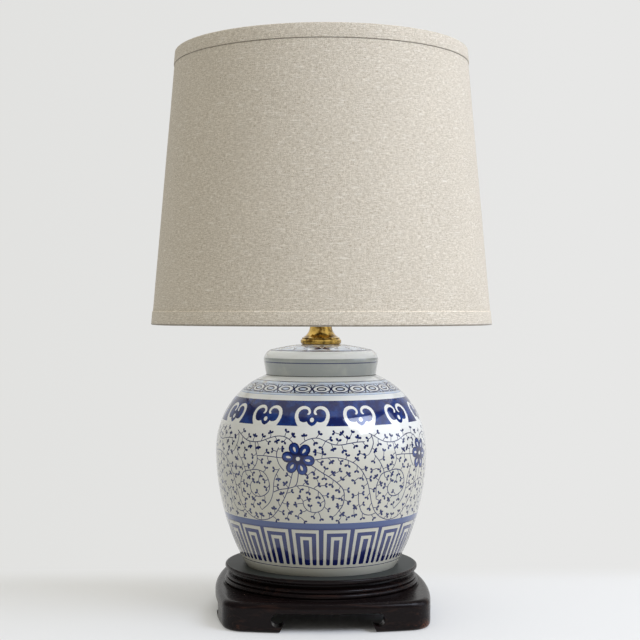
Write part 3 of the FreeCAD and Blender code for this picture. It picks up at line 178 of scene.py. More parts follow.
class Finish(Nodes):
    """A node material."""

    def __init__(self, name):
        self.material = bpy.data.materials.new(name)
        self.material.use_nodes = True
        super().__init__(self.material.node_tree)
        self.shader = self.tree.nodes["Principled BSDF"]

    def surface(self, **inputs):
        """Sets the shader's own sockets; words joined by underscores are the sockets' names."""
        self.feed(self.shader, {name.replace("_", " "): value for name, value in inputs.items()})
        return self

    def place(self, scale=(1, 1, 1), source="Object"):
        """Coordinates of the surface in millimetres, stretched by scale."""
        outputs = {"Object": 3, "UV": 2}
        where = self.node("ShaderNodeTexCoord", output=outputs[source])
        return self.node("ShaderNodeMapping", {}, {"Vector": where, "Scale": [s / MM for s in scale]})

    def noise(self, size, detail=3, roughness=0.5, scale=(1, 1, 1), source="Object", distortion=0):
        """Noise with features of that size in millimetres."""
        return self.node("ShaderNodeTexNoise", {}, {
            "Vector": self.place(scale, source), "Scale": 1 / size, "Detail": detail, "Roughness": roughness,
            "Distortion": distortion})

    def shade(self, amount, base):
        """A colour made darker or lighter by a number."""
        grey = self.node("ShaderNodeCombineColor", {}, {0: amount, 1: amount, 2: amount})
        product = {"data_type": "RGBA", "blend_type": "MULTIPLY"}
        return self.node("ShaderNodeMix", product, {0: 1.0, 6: base, 7: grey}, 2)

    def bump(self, height, distance, strength=1.0):
        """Normal of a surface with that relief; distance is its height in millimetres."""
        return self.node("ShaderNodeBump", {}, {"Height": height, "Distance": distance * MM, "Strength": strength})

    def wear(self, *names):
        """Puts the finish on CAD nodes."""
        for name in names:
            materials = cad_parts[name].data.materials
            if not materials:
                materials.append(self.material)
            for i in range(len(materials)):
                materials[i] = self.material


def glaze(name, base, other=None, size=9.0, low=0.35, high=0.65, roughness=0.08, coat=0.35):
    """Paint under a clear glaze: a colour that pools and thins into another one."""
    finish = Finish(name)
    mask = finish.ease(finish.noise(size, 4, 0.6), low, high)
    paint = finish.blend(mask, base, other or base)
    return finish.surface(Base_Color=paint, Roughness=roughness, IOR=1.5, Coat_Weight=coat, Coat_Roughness=0.03,
                          Normal=finish.bump(finish.noise(16, 1, 0.4), 0.08))


def speckled(name, one, other, size, detail, roughness, more=0.0, relief=0.0, grain=0.5, scale=(1, 1, 1)):
    """A plain surface that wanders between two colours, duller where it is nearer the second."""
    finish = Finish(name)
    fleck = finish.noise(size, detail, grain, scale)
    finish.surface(Base_Color=finish.blend(fleck, one, other),
                   Roughness=roughness + fleck * more if more else roughness)
    return finish.surface(Normal=finish.bump(fleck, relief)) if relief else finish


def metal(name, bright, dull, size, low, high, roughness, rough_more, brushed=(1, 1, 1), relief=0.02):
    """Metal that has dulled in patches, with fine turning marks."""
    finish = Finish(name)
    patch = finish.ease(finish.noise(size, 4, 0.6), low, high)
    marks = finish.noise(1.4, 3, 0.6, brushed)
    return finish.surface(Base_Color=finish.blend(patch, bright, dull), Metallic=1.0,
                          Roughness=roughness + patch * rough_more + (marks - 0.5) * 0.14,
                          Normal=finish.bump(marks, relief))


# --- settings in the sidebar

class JarPainting(bpy.types.PropertyGroup):
    """Colours and counts of the painting on the jar and the lid."""
    porcelain: colour("Porcelain", "Warm white of the glazed body", 195, 191, 176)
    porcelain_shade: colour("Porcelain shade", "Cooler white where the glaze is thick", 188, 187, 176)
    # Painted light: a whiter porcelain toward the shoulder, where more light falls from above.
    porcelain_lit_shoulder: colour("Porcelain, shoulder", "Cleaner white under the shoulder band", 230, 230, 225)
    # Painted light: whiter porcelain for the lid's rim and dome and the white rings of the shoulder, where more light
    # falls from above.
    bright: colour("Porcelain, bright", "Cleaner white of the lid and the collar", 224, 226, 224)
    tinted: colour("Porcelain, tinted", "White with a breath of blue behind the scroll band", 196, 209, 226)
    # Painted shade: greyer porcelain on the side of the lid, which faces down under the shade and gets less light.
    grey: colour("Porcelain, grey", "Greyer glaze on the side of the lid", 152, 157, 154)
    # The dark bare rim of the lid, with the painted shadow of the gap between lid and jar.
    seam: colour("Seam", "Bare rim of the lid, darkened by handling", 52, 50, 42)
    line: colour("Lines", "Blue of the brushed lines and stems", 28, 38, 86)
    leaf: colour("Leaves", "Blue of the leaves", 16, 28, 78)
    leaf_light: colour("Leaves, thin", "Blue where a leaf is thinly painted", 34, 56, 112)
    dark: colour("Outlines", "Nearly black blue of the outlines", 10, 20, 64)
    band: colour("Band", "Dark blue of the shoulder band", 10, 26, 84)
    band_light: colour("Band, thin", "Blue where the wash of the band is thin", 24, 58, 128)
    fret_top: colour("Fret, top", "Greyer blue at the top of the key fret", 48, 58, 104)
    fret_bottom: colour("Fret, bottom", "Dark blue at the foot of the key fret", 12, 20, 72)
    ring: colour("Ring", "Grey blue of the ring over the key fret", 72, 88, 130)
    pale: colour("Pale wash", "Blue of the thin washes", 104, 134, 186)
    petal: colour("Petals", "Blue inside the petals", 34, 64, 128)
    flowers: IntProperty(name="Flowers", description="Flowers round the jar", default=5, min=3, max=8)
    lappets: IntProperty(name="Lappets", description="Cloud lappets on the shoulder", default=13, min=6, max=18)
    ovals: IntProperty(name="Ovals", description="Ovals of the scroll band", default=26, min=12, max=36)
    frets: IntProperty(name="Frets", description="Units of the key fret", default=20, min=10, max=30)
    stem: FloatProperty(name="Stem", description="Width of a stem of the vine", default=0.0009, min=0.0003, max=0.002,
                        unit="LENGTH", subtype="DISTANCE", precision=5)
    seed: IntProperty(name="Seed", description="Where the leaves fall", default=11, min=0)


class StandFinish(bpy.types.PropertyGroup):
    """Colours of the wooden stand."""
    wood: colour("Lacquer", "Near black of the lacquered wood", 20, 14, 14)
    grain: colour("Grain", "Colour of the open grain", 44, 28, 23)
    wear: colour("Wear", "Red-brown where the lacquer has worn", 104, 62, 44)
    # Painted sheen: grey-green on the top of the plate for its reflection of the bright room.
    plate_sheen: colour("Dust", "Grey of the dull top of the plate", 52, 57, 56)


class BrassFinish(bpy.types.PropertyGroup):
    """Colours of the brass."""
    bright: colour("Brass", "Polished brass", 200, 166, 88)
    aged: colour("Patina", "Brass that has darkened", 96, 70, 28)


class ShadeCloth(bpy.types.PropertyGroup):
    """Colours and threads of the shade."""
    linen: colour("Linen", "Natural linen", 225, 216, 201)
    dark_thread: colour("Dark threads", "Darker threads and gaps of the weave", 163, 150, 129)
    light_thread: colour("Light threads", "Lighter threads and slubs", 246, 243, 235)
    tape: colour("Tape", "Linen tape of the edges", 227, 218, 203)
    thread: FloatProperty(name="Thread", description="Spacing of the threads", default=0.00095, min=0.0004, max=0.003,
                          unit="LENGTH", subtype="DISTANCE", precision=5)


class StageLight(bpy.types.PropertyGroup):
    """Floor, background and light."""
    wall_left: colour("Wall, left", "Background at the left of the picture", 225, 225, 223)
    wall_right: colour("Wall, right", "Background at the right of the picture", 231, 231, 230)
    floor: colour("Floor", "Floor under the lamp", 226, 226, 227)
    key: FloatProperty(name="Window", description="Power of the window at the right", default=57, min=0, unit="POWER")
    side: FloatProperty(name="Side light", description="Power of the light beside it", default=26, min=0, unit="POWER")
    sky: FloatProperty(name="Sky", description="Strength of the light from above", default=1.24, min=0)
    daylight: colour("Daylight", "Cool colour of the window light", 227, 236, 255)
    bounce: colour("Bounce", "Warm colour of the light from above", 255, 253, 243)


# --- helpers for meshes

def select_only(*objects):
    """Makes these the selected objects, the first one active."""
    bpy.ops.object.select_all(action="DESELECT")
    for thing in objects:
        thing.select_set(True)
    bpy.context.view_layer.objects.active = objects[0]


def linked(name, data):
    """A new object in the scene."""
    thing = bpy.data.objects.new(name, data)
    bpy.context.scene.collection.objects.link(thing)
    return thing


def recalculate(piece):
    """Merges the doubles of a mesh and turns its faces outwards."""
    select_only(piece)
    bpy.ops.object.mode_set(mode="EDIT")
    bpy.ops.mesh.select_all(action="SELECT")
    bpy.ops.mesh.remove_doubles(threshold=1e-6)
    bpy.ops.mesh.normals_make_consistent(inside=False)
    bpy.ops.object.mode_set(mode="OBJECT")


def settle(piece, name, body, finishes=(), replaces=()):
    """Names a finished piece, gives it its finishes and puts it on its body."""
    piece.name = piece.data.name = name
    for finish in finishes:
        piece.data.materials.append(finish.material)
    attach(piece, body)
    if replaces:
        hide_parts(*replaces)
    return piece


class Wall:
    """The side of a turned piece: (radius, z, normal radius, normal z) at steps of its length."""

    def __init__(self, points, normals):
        self.points, self.normals = points, normals
        self.length = [0.0]
        for one, other in zip(points, points[1:]):
            self.length.append(self.length[-1] + math.dist(one, other))

    @classmethod
    def arc(cls, centre, radius, start, end, step=1.0):
        """Part of a circle between two angles in degrees, measured from outwards to upwards."""
        count = max(2, round(abs(math.radians(end - start)) * abs(radius) / step))
        turns = [math.radians(start + (end - start) * i / count) for i in range(count + 1)]
        return cls([(centre[0] + radius * math.cos(t), centre[1] + radius * math.sin(t)) for t in turns],
                   [(math.cos(t), math.sin(t)) for t in turns])

    @classmethod
    def line(cls, *points):
        """Straight from point to point, flat between them."""
        (r0, z0), (r1, z1) = points[0], points[-1]
        size = math.hypot(r1 - r0, z1 - z0)
        return cls(list(points), [((z1 - z0) / size, (r0 - r1) / size)] * len(points))

    @classmethod
    def corners(cls, *points):
        """A straight wall between each point and the next."""
        return [cls.line(*ends) for ends in zip(points, points[1:])]

    def flipped(self):
        """The same wall seen from its other side."""
        return Wall(self.points, [(-nr, -nz) for nr, nz in self.normals])

    def joined(self, other):
        """This wall and one that goes on smoothly from its end."""
        return Wall(self.points + other.points[1:], self.normals + other.normals[1:])

    def at(self, length):
        """Radius, z and normal at a length along the wall."""
        length = min(max(length, 0.0), self.length[-1])
        i = min(max(bisect_right(self.length, length) - 1, 0), len(self.points) - 2)
        t = (length - self.length[i]) / (self.length[i + 1] - self.length[i])
        mix = lambda one, other: tuple(a + (b - a) * t for a, b in zip(one, other))
        return (*mix(self.points[i], self.points[i + 1]), *mix(self.normals[i], self.normals[i + 1]))

    def height(self, z):
        """Length along the wall at a height, for a wall that rises all the way."""
        zs = [p[1] for p in self.points]
        i = min(max(bisect_right(zs, z) - 1, 0), len(zs) - 2)
        return self.length[i] + (z - zs[i]) / (zs[i + 1] - zs[i]) * (self.length[i + 1] - self.length[i])


def around(radius, z, degrees):
    """Point at that angle from the front, to the right."""
    turn = math.radians(degrees)
    return (radius * math.sin(turn) * MM, -radius * math.cos(turn) * MM, z * MM)


# --- the painting

class Painting:
    """Shapes brushed on an unrolled wall. Points are (degrees, length); later layers cover earlier ones."""

    def __init__(self, wall):
        self.wall = wall
        self.points, self.edges, self.shapes, self.paints = [], [], [], []
        self.bands = []

    def shape(self, points, paint):
        """A filled outline in one paint, over all that is there."""
        flat = [(a * MM_PER_DEGREE, s) for a, s in points]
        area = sum(x0 * y1 - x1 * y0 for (x0, y0), (x1, y1) in zip(flat, flat[1:] + flat[:1]))
        if abs(area) < 1e-4:
            return
        if area < 0:
            flat.reverse()
        half = 180 * MM_PER_DEGREE
        for shift in (0, -2 * half, 2 * half):
            if all(abs(x + shift) > half for x, _ in flat):
                continue
            start = len(self.points)
            self.points += [Vector((x + shift, y)) for x, y in flat]
            self.shapes.append(list(range(start, len(self.points))))
            self.paints.append(paint)

    def stroke(self, points, width, paint):
        """A brushed line through the points; each step is a shape of its own, so it may cross itself."""
        flat = [Vector((a * MM_PER_DEGREE, s)) for a, s in points]
        sides = []
        for i, here in enumerate(flat):
            way = (flat[min(i + 1, len(flat) - 1)] - flat[max(i - 1, 0)]).normalized()
            off = Vector((-way.y, way.x)) * width / 2
            sides.append((here + off, here - off))
        for (a, b), (c, d) in zip(sides, sides[1:]):
            self.shape([(p.x / MM_PER_DEGREE, p.y) for p in (a, b, d, c)], paint)

    def disc(self, centre, radius, paint, count=10, wide=1.0):
        """A round or oval dot."""
        self.oval(centre, 0, (0, radius * wide, radius), paint, count)

    def oval(self, centre, turn, size, paint, count=14, plump=0.0, wide=1.0):
        """An oval away from a centre, in a direction in degrees: size is (distance, half length, half width)."""
        reach, half_long, half_wide = size
        turns = [2 * math.pi * i / count for i in range(count)]
        self.turned(centre, turn, [
            (reach + half_long * math.cos(t), half_wide * math.sin(t) * (1 - plump + plump * math.cos(t)))
            for t in turns], paint, wide)

    def turned(self, root, turn, outline, paint, wide=1.0):
        """An outline in millimetres, turned in a direction in degrees and made wider by a factor."""
        cos, sin = math.cos(math.radians(turn)), math.sin(math.radians(turn))
        self.shape([(root[0] + (x * cos - y * sin) * wide / MM_PER_DEGREE, root[1] + x * sin + y * cos)
                    for x, y in outline], paint)

    def band(self, low, high, paint):
        """A ring of paint between two lengths, under all the shapes."""
        self.bands.append((low, high, paint))

    def leaf(self, root, turn, length, paint):
        """A drop-shaped leaf that grows from its root in a direction in degrees."""
        outline = ((0, 0.07), (0.24, 0.22), (0.52, 0.33), (0.80, 0.27), (0.97, 0.10), (0.97, -0.10), (0.80, -0.27),
                   (0.52, -0.33), (0.24, -0.22), (0, -0.07))
        self.turned(root, turn, [(x * length, y * length) for x, y in outline], paint)

    def mesh(self, rows):
        """Cuts the unrolled wall along every outline: points, triangles and the paint of each triangle."""
        total, half = self.wall.length[-1], 180 * MM_PER_DEGREE
        step = 2 * half / COLUMNS
        points, edges = list(self.points), []
        borders = sorted({0.0, total, *(s for band in self.bands for s in band[:2])})
        for length in borders:
            start = len(points)
            points += [Vector((-half + step * i, length)) for i in range(COLUMNS + 1)]
            edges += [(start + i, start + i + 1) for i in range(COLUMNS)]
        levels = [total * i / rows for i in range(1, rows)]
        levels = [s for s in levels if min(abs(s - b) for b in borders) > total / rows / 3]
        for odd, length in enumerate(levels):
            points += [Vector((-half + step * (i + 0.5 * (odd % 2)), length)) for i in range(1, COLUMNS)]
        for x in (-half, half):
            start = len(points)
            side = sorted({*borders, *levels})
            points += [Vector((x, s)) for s in side]
            edges += [(start + i, start + i + 1) for i in range(len(side) - 1)]
        points, _, faces, _, _, owners = delaunay_2d_cdt(points, edges, self.shapes, 0, 1e-6, True)
        kept, paints = [], []
        for face, owner in zip(faces, owners):
            x = sum(points[i].x for i in face) / len(face)
            if abs(x) > half:
                continue
            y = sum(points[i].y for i in face) / len(face)
            paint = self.paints[max(owner)] if owner else next((p for lo, hi, p in self.bands if lo < y < hi), 0)
            kept.append(tuple(face))
            paints.append(paint)
        return points, kept, paints


def turned_piece(name, painting, rows, walls):
    """A closed turned piece: a painted wall and the bare walls that follow it round to its start, in one mesh."""
    flat, faces, paints = painting.mesh(rows)
    points, found, polygons, normals, slots = [], {}, [], [], []

    def corner(radius, z, degrees, normal):
        degrees = (degrees + 180) % 360 - 180
        if abs(degrees - 180) < 1e-5:
            degrees = -180.0
        key = (round(radius, 3), round(z, 3), round(degrees, 4) + 0.0)
        if key not in found:
            found[key] = len(points)
            points.append(around(radius, z, degrees))
        turn = math.radians(degrees)
        return found[key], (normal[0] * math.sin(turn), -normal[0] * math.cos(turn), normal[1])

    def polygon(corners, paint):
        if len({index for index, _ in corners}) == len(corners):
            polygons.append([index for index, _ in corners])
            normals.extend(normal for _, normal in corners)
            slots.append(paint)

    places = [painting.wall.at(point.y) for point in flat]
    for face, paint in zip(faces, paints):
        polygon([corner(*places[i][:2], flat[i].x / MM_PER_DEGREE, places[i][2:]) for i in face], paint)
    for bare in walls:
        rings = [[corner(radius, z, -180 + 360 * i / COLUMNS, normal) for i in range(COLUMNS + 1)]
                 for (radius, z), normal in zip(bare.points, bare.normals)]
        for low, high in zip(rings, rings[1:]):
            for i in range(COLUMNS):
                polygon([low[i], low[i + 1], high[i + 1], high[i]], PORCELAIN)
    mesh = bpy.data.meshes.new(name)
    mesh.from_pydata(points, [], polygons)
    mesh.polygons.foreach_set("material_index", slots)
    mesh.polygons.foreach_set("use_smooth", [True] * len(polygons))
    mesh.normals_split_custom_set(normals)
    return linked(name, mesh)


PORCELAIN, LINE, LEAF, BAND, FRET, PALE, PETAL, DARK, TINTED, PAINTED_SHADE_GREY, SEAM_AND_SHADOW, LIT_WHITE = range(12)


def painted_finishes(settings):
    """Porcelain and the blues of the painting, in the order of their numbers."""
    body = glaze("porcelain_glaze", settings.porcelain)
    _, _, height = body.parts(body.place())
    cooler = body.blend(body.ease(body.noise(60, 4, 0.6), 0.3, 0.7), settings.porcelain, settings.porcelain_shade)
    # Painted light: the porcelain whitens from 150 to 212 mm up, toward the shoulder, where more light falls from
    # above.
    body.surface(Base_Color=body.blend(body.ease(height, 150, 212), cooler, settings.porcelain_lit_shoulder))
    fret = glaze("cobalt_fret", settings.fret_bottom)
    _, _, height = fret.parts(fret.place())
    streak = fret.noise(5, 4, 0.6, (1, 1, 0.12))
    bars = fret.blend(fret.ease(height + (streak - 0.5) * 26, 64, 92), settings.fret_bottom, settings.fret_top)
    fret.surface(Base_Color=fret.blend(fret.ease(height, 98.5, 101), bars, settings.ring))
    return [
        body,
        glaze("cobalt_line", settings.line, settings.leaf, 7, 0.45, 0.8),
        glaze("cobalt_leaf", settings.leaf, settings.leaf_light, 5, 0.48, 0.8),
        glaze("cobalt_band", settings.band, settings.band_light, 11, 0.40, 0.66),
        fret,
        glaze("cobalt_pale", settings.pale, settings.porcelain, 6, 0.5, 0.9),
        glaze("cobalt_petal", settings.petal, settings.band, 4, 0.42, 0.68),
        glaze("cobalt_dark", settings.dark, settings.band, 5, 0.5, 0.8),
        glaze("porcelain_tinted", settings.tinted, settings.porcelain, 8, 0.4, 0.8),
        # Painted shade: the side of the lid in a greyer glaze.
        glaze("porcelain_painted_shade", settings.grey, settings.porcelain_shade, 26, 0.45, 0.95),
        # Bare rim of the lid darkened as painted shadow of the gap under it.
        glaze("unglazed_seam", settings.seam, roughness=0.6, coat=0.0),
        # Painted light: the lid's rim and the shoulder's white rings in a whiter glaze.
        glaze("porcelain_lit_white", settings.bright, settings.porcelain, 40, 0.55, 0.95),
    ]


def smooth_line(points, step=2.6):
    """Points every few millimetres along a smooth curve through the given ones."""
    line = []
    padded = [points[0], *points, points[-1]]
    for a, b, c, d in zip(padded, padded[1:], padded[2:], padded[3:]):
        count = max(1, round(math.dist(b, c) / step))
        for i in range(count):
            t = i / count
            line.append(tuple(0.5 * (2 * q + (r - p) * t + (2 * p - 5 * q + 4 * r - s) * t * t
                                     + (3 * q - p - 3 * r + s) * t ** 3) for p, q, r, s in zip(a, b, c, d)))
    return line + [points[-1]]


# Stems of one repeat of the vine, in fifths of a millimetre right of and below the middle of a flower.
VINE_STEMS = (
    ((8, -66), (34, -86), (64, -98), (99, -100), (134, -86), (174, -70), (214, -68), (264, -76), (304, -80),
     (334, -80)),
    ((361, -122), (390, -106), (440, -80), (490, -72), (540, -78), (590, -96), (630, -106), (670, -104), (704, -86),
     (722, -66)),
    ((82, 4), (144, -6), (194, -6), (244, 7), (289, 32), (324, 72), (349, 122), (364, 172), (379, 222), (404, 267),
     (444, 297), (494, 314), (544, 312), (584, 298), (619, 268), (649, 228), (676, 182), (700, 122), (716, 62)),
    ((404, 205), (399, 150), (411, 110), (431, 80), (474, 69), (516, 63), (556, 72), (580, 97), (590, 132), (584, 164),
     (556, 188), (519, 197), (486, 186), (470, 160), (474, 138)),
    ((504, -73), (510, -40), (520, -8), (522, 18), (510, 44), (492, 62)),
    ((520, -6), (560, -8), (600, -6), (662, -2)),
    ((2, 64), (-2, 100), (-14, 132), (-52, 146), (-96, 154), (-130, 168)),
    ((-16, 134), (24, 130), (64, 140), (99, 157), (124, 187), (132, 217), (120, 247), (86, 262), (49, 256), (26, 232),
     (22, 208)),
    ((648, 50), (619, 104), (607, 175), (580, 226), (532, 262)),
    ((64, 30), (112, 62), (160, 92), (196, 120), (222, 150), (228, 186), (222, 226), (200, 258)),
    ((302, 162), (304, 212), (324, 262), (352, 280), (384, 282), (410, 272)),
    ((374, -116), (382, -74), (362, -30)),
    ((384, -16), (418, 24), (440, 64), (446, 92)),
    ((-70, 60), (-96, 30), (-110, -16), (-100, -52)),
)


def vine(painting, settings):
    """Flowers on a scrolling vine with small leaves, repeated round the jar between the band and the fret."""
    chance = random.Random(settings.seed)
    wall, count, wide = painting.wall, settings.flowers, 742
    repeats = range(-(count // 2), count - count // 2)

    def at(x, y, repeat):
        """Place on the jar of a point of the vine, whose repeats are wider at the front."""
        turns = x / (wide * count) + repeat / count
        return (FRONT - 11.6 + 360 * turns + 4.46 * math.sin(2 * math.pi * turns), wall.height(FLOWERS_Z - y / 5))

    def apart(one, other):
        """The way from one point to another, the shorter way round the repeat."""
        return (other[0] - one[0] + wide / 2) % wide - wide / 2, other[1] - one[1]

    def clear(point, others, gap):
        return all(math.hypot(*apart(point, other)) > gap for other in others)

    stems = [smooth_line(stem, 13) for stem in VINE_STEMS]
    dots = [point for stem in stems for point in stem]
    sprigs, tips = [], []

    def grow(root, tip):
        if -128 < tip[1] < 312 and clear(tip, [(0, 0)], 92):
            sprigs.append((root, tip))
            tips.append(tip)

    for stem in stems:
        side = 1
        for i in range(1, len(stem) - 1, 2):
            (x0, y0), (x1, y1) = stem[i - 1], stem[i + 1]
            turn = math.atan2(y1 - y0, x1 - x0) + math.radians(side * chance.uniform(46, 76))
            side = -side
            reach = chance.uniform(20, 26)
            tip = (stem[i][0] + reach * math.cos(turn), stem[i][1] + reach * math.sin(turn))
            if clear(tip, tips, 35) and clear(tip, dots, 15):
                grow(stem[i], tip)
    for _ in range(4200):
        tip = (chance.uniform(0, wide), chance.uniform(-126, 308))
        if clear(tip, tips, 34) and clear(tip, dots, 17):
            way = min((apart(root, tip) for root in dots + tips), key=lambda way: math.hypot(*way))
            if math.hypot(*way) < 44:
                grow((tip[0] - way[0], tip[1] - way[1]), tip)
    for repeat in repeats:
        for stem in stems:
            painting.stroke([at(x, y, repeat) for x, y in stem], settings.stem / MM * chance.uniform(0.85, 1.15), LINE)
        for root, tip in sprigs:
            (x0, y0), (x1, y1) = root, tip
            bow = chance.uniform(-0.16, 0.16)
            middle = ((x0 + x1) / 2 + (y1 - y0) * bow, (y0 + y1) / 2 - (x1 - x0) * bow)
            painting.stroke([at(*root, repeat), at(*middle, repeat), at(*tip, repeat)], 0.72, LINE)
            lean = -math.degrees(math.atan2(y1 - middle[1], x1 - middle[0]))
            for spread in ((-66, 2, 68) if chance.random() < 0.3 else (-48, 46)):
                painting.leaf(at(*tip, repeat), lean + spread + chance.uniform(-14, 14), chance.uniform(3.1, 4.0), LEAF)
    for repeat in repeats:
        flower(painting, at(0, 0, repeat))


def flower(painting, centre):
    """A flower of six outlined petals, each with a white drop, round a dark eye with a white dot."""
    turns = [60 * i - 8 for i in range(6)]
    for turn in turns:
        painting.oval(centre, turn, (10.0, 6.6, 5.9), DARK, 18, 0.08)
    painting.disc(centre, 5.4, DARK, 14)
    for turn in turns:
        painting.oval(centre, turn, (10.6, 5.2, 4.7), BAND, 16, 0.08)
        painting.oval(centre, turn, (11.6, 3.6, 3.6), PETAL, 14, 0.1)
    for turn in turns:
        painting.oval(centre, turn, (9.6, 2.6, 1.45), PORCELAIN, 10, 0.2)
    painting.disc(centre, 2.9, LINE, 14)
    painting.disc(centre, 2.0, PORCELAIN, 12)


# Left half of a lappet, in 23rds of a degree from its middle and twelfths of a millimetre below z 247.
LAPPET_OUTER = ((-176, 563), (-208, 515), (-226, 470), (-230, 430), (-222, 395), (-202, 365), (-172, 346), (-138, 336),
                (-100, 335), (-64, 343), (-36, 360), (-20, 385), (-19, 410), (-32, 428), (-52, 434), (-66, 426))
LAPPET_INNER = ((-52, 412), (-49, 396), (-62, 378), (-88, 368), (-122, 369), (-154, 382), (-175, 402), (-184, 432),
                (-178, 466), (-158, 500), (-132, 514), (-104, 518), (-80, 514), (-66, 508), (-58, 522), (-38, 543),
                (-16, 555), (0, 560), (0, 563))


# Heights of the painting over the surface that the feet rest on.
FRET_LOW, FRET_HIGH, RING_HIGH, FLOWERS_Z = 61.4, 100.4, 105.4, 169.0
BAND_LOW, BAND_HIGH, OVALS_Z = 200.25, 224.0, 234.8


def shoulder(painting, settings):
    """Rings, the scroll band and the dark band with its cloud lappets; the white between the rings is painted light,
    whiter than the porcelain.
    """
    at = painting.wall.height
    for low, high, paint in (
            (241.0, 241.55, DARK), (238.9, 241.0, TINTED), (238.5, 238.9, LINE), (231.25, 238.5, TINTED),
            (230.7, 231.25, DARK), (229.2, 230.7, TINTED), (228.8, 229.2, PALE), (BAND_HIGH, 228.8, LIT_WHITE),
            (BAND_LOW, BAND_HIGH, BAND), (241.55, 246, LIT_WHITE)):
        painting.band(at(low), at(high), paint)
    unit = 360 / settings.lappets
    for i in range(settings.lappets):
        middle = FRONT - 4.9 + unit * i
        for side in (1, -1):
            painting.shape([(middle + side * x / 23.04, at(247 - y / 12)) for x, y in LAPPET_OUTER + LAPPET_INNER],
                           PORCELAIN)
        painting.disc((middle, at(206.2)), 2.5, PORCELAIN, 10, 0.9)
    unit = 360 / settings.ovals
    for i in range(settings.ovals):
        middle = FRONT + 0.6 + unit * i
        for side in (1, -1):
            gap = middle + unit / 2
            arm = [(gap - side * 1.9, at(238.6)), (gap, at(OVALS_Z)), (gap + side * 1.9, at(231.1))]
            painting.stroke(arm, 1.5, DARK)
    for i in range(settings.ovals):
        middle = FRONT + 0.6 + unit * i
        for wide, tall, paint in ((6.7, 3.5, LINE), (6.0, 2.75, LIT_WHITE), (3.75, 1.9, DARK), (2.6, 0.95, TINTED)):
            turns = [2 * math.pi * k / 24 for k in range(24)]
            painting.shape([(middle + wide * math.cos(t), at(OVALS_Z + tall * math.sin(t))) for t in turns], paint)


def foot(painting, settings):
    """Ring over the fret, the key fret and the thin ring under it."""
    at = painting.wall.height
    painting.band(at(57.95), at(58.65), LINE)
    painting.band(at(FRET_LOW), at(FRET_HIGH), FRET)
    painting.band(at(FRET_HIGH), at(RING_HIGH), FRET)
    unit = 360 / settings.frets
    scale = unit / 18
    chance = random.Random(settings.seed + 1)
    for i in range(settings.frets):
        middle = FRONT + 9.3 + unit * i
        for half, thick, top in ((7.75, 1.8, 98.5), (3.45, 1.75, 91.4)):
            half, thick = half * scale, thick * scale
            wob = [chance.uniform(-0.12, 0.12) for _ in range(8)]
            left, inner_left = middle - half + wob[0], middle - half + thick + wob[7]
            inner_right, right = middle + half - thick + wob[5], middle + half + wob[4]
            flare = 0.42
            painting.shape([
                (left - flare, at(61.3)), (left, at(62.6)), (left + wob[1], at(top)),
                (right + wob[2], at(top + wob[3])), (right, at(62.6)), (right + flare, at(61.3)),
                (inner_right - flare, at(61.3)), (inner_right, at(62.6)),
                (inner_right + wob[6], at(top - 3.4)), (inner_left + wob[1], at(top - 3.4)), (inner_left, at(62.6)),
                (inner_left + flare, at(61.3))], PORCELAIN)


class LAMP_OT_painted_jar(bpy.types.Operator):
    """Turns the porcelain jar and paints its shoulder, vine and fret"""
    bl_idname = "lamp.painted_jar"
    bl_label = "Painted Jar"

    def execute(self, context):
        settings = context.scene.lamp_jar
        across = JAR_BELLY_RADIUS - JAR_FOOT_RADIUS
        rising = JAR_BELLY_Z - JAR_FOOT_Z
        lower = (across ** 2 + rising ** 2) / (2 * across)
        lower_centre = (JAR_BELLY_RADIUS - lower, JAR_BELLY_Z)
        upper_centre = (JAR_BELLY_RADIUS - JAR_SHOULDER_ARC, JAR_BELLY_Z)
        foot_turn = -math.degrees(math.asin((rising - JAR_FOOT_EDGE) / lower))
        ledge_turn = math.degrees(math.asin((LEDGE_Z - JAR_BELLY_Z) / JAR_SHOULDER_ARC))
        outside = Wall.arc(lower_centre, lower, foot_turn, 0).joined(
            Wall.arc(upper_centre, JAR_SHOULDER_ARC, 0, ledge_turn))
        painting = Painting(outside)
        shoulder(painting, settings)
        foot(painting, settings)
        vine(painting, settings)
        collar_top = LEDGE_Z + JAR_COLLAR_HEIGHT
        mouth = JAR_COLLAR_RADIUS - JAR_WALL
        inner_upper, inner_lower = JAR_SHOULDER_ARC - JAR_WALL, lower - JAR_WALL
        neck_turn = math.degrees(math.acos((mouth - upper_centre[0]) / inner_upper))
        floor_turn = -math.degrees(math.asin((JAR_BELLY_Z - JAR_FLOOR_Z) / inner_lower))
        neck = (mouth, JAR_BELLY_Z + inner_upper * math.sin(math.radians(neck_turn)))
        inner_floor = (lower_centre[0] + inner_lower * math.cos(math.radians(floor_turn)), JAR_FLOOR_Z)
        start = outside.points[0]
        walls = [
            *Wall.corners((LEDGE_RADIUS, LEDGE_Z), (JAR_COLLAR_RADIUS, LEDGE_Z), (JAR_COLLAR_RADIUS, collar_top)),
            Wall.arc(((JAR_COLLAR_RADIUS + mouth) / 2, collar_top), JAR_WALL / 2, 0, 180),
            Wall.line((mouth, collar_top), neck),
            Wall.arc(upper_centre, inner_upper, neck_turn, 0, 4).flipped(),
            Wall.arc(lower_centre, inner_lower, 0, floor_turn, 4).flipped(),
            *Wall.corners(inner_floor, (JAR_HOLE_RADIUS, JAR_FLOOR_Z), (JAR_HOLE_RADIUS, JAR_RECESS_Z),
                          (JAR_RING_INNER, JAR_RECESS_Z), (JAR_RING_INNER + JAR_FOOT_EDGE, JAR_FOOT_Z),
                          (start[0] - JAR_FOOT_EDGE, JAR_FOOT_Z), start),
        ]
        jar = turned_piece("painted_jar", painting, 62, walls)
        settle(jar, "painted_jar", "base", painted_finishes(settings), ["jar_body"])
        return {"FINISHED"}


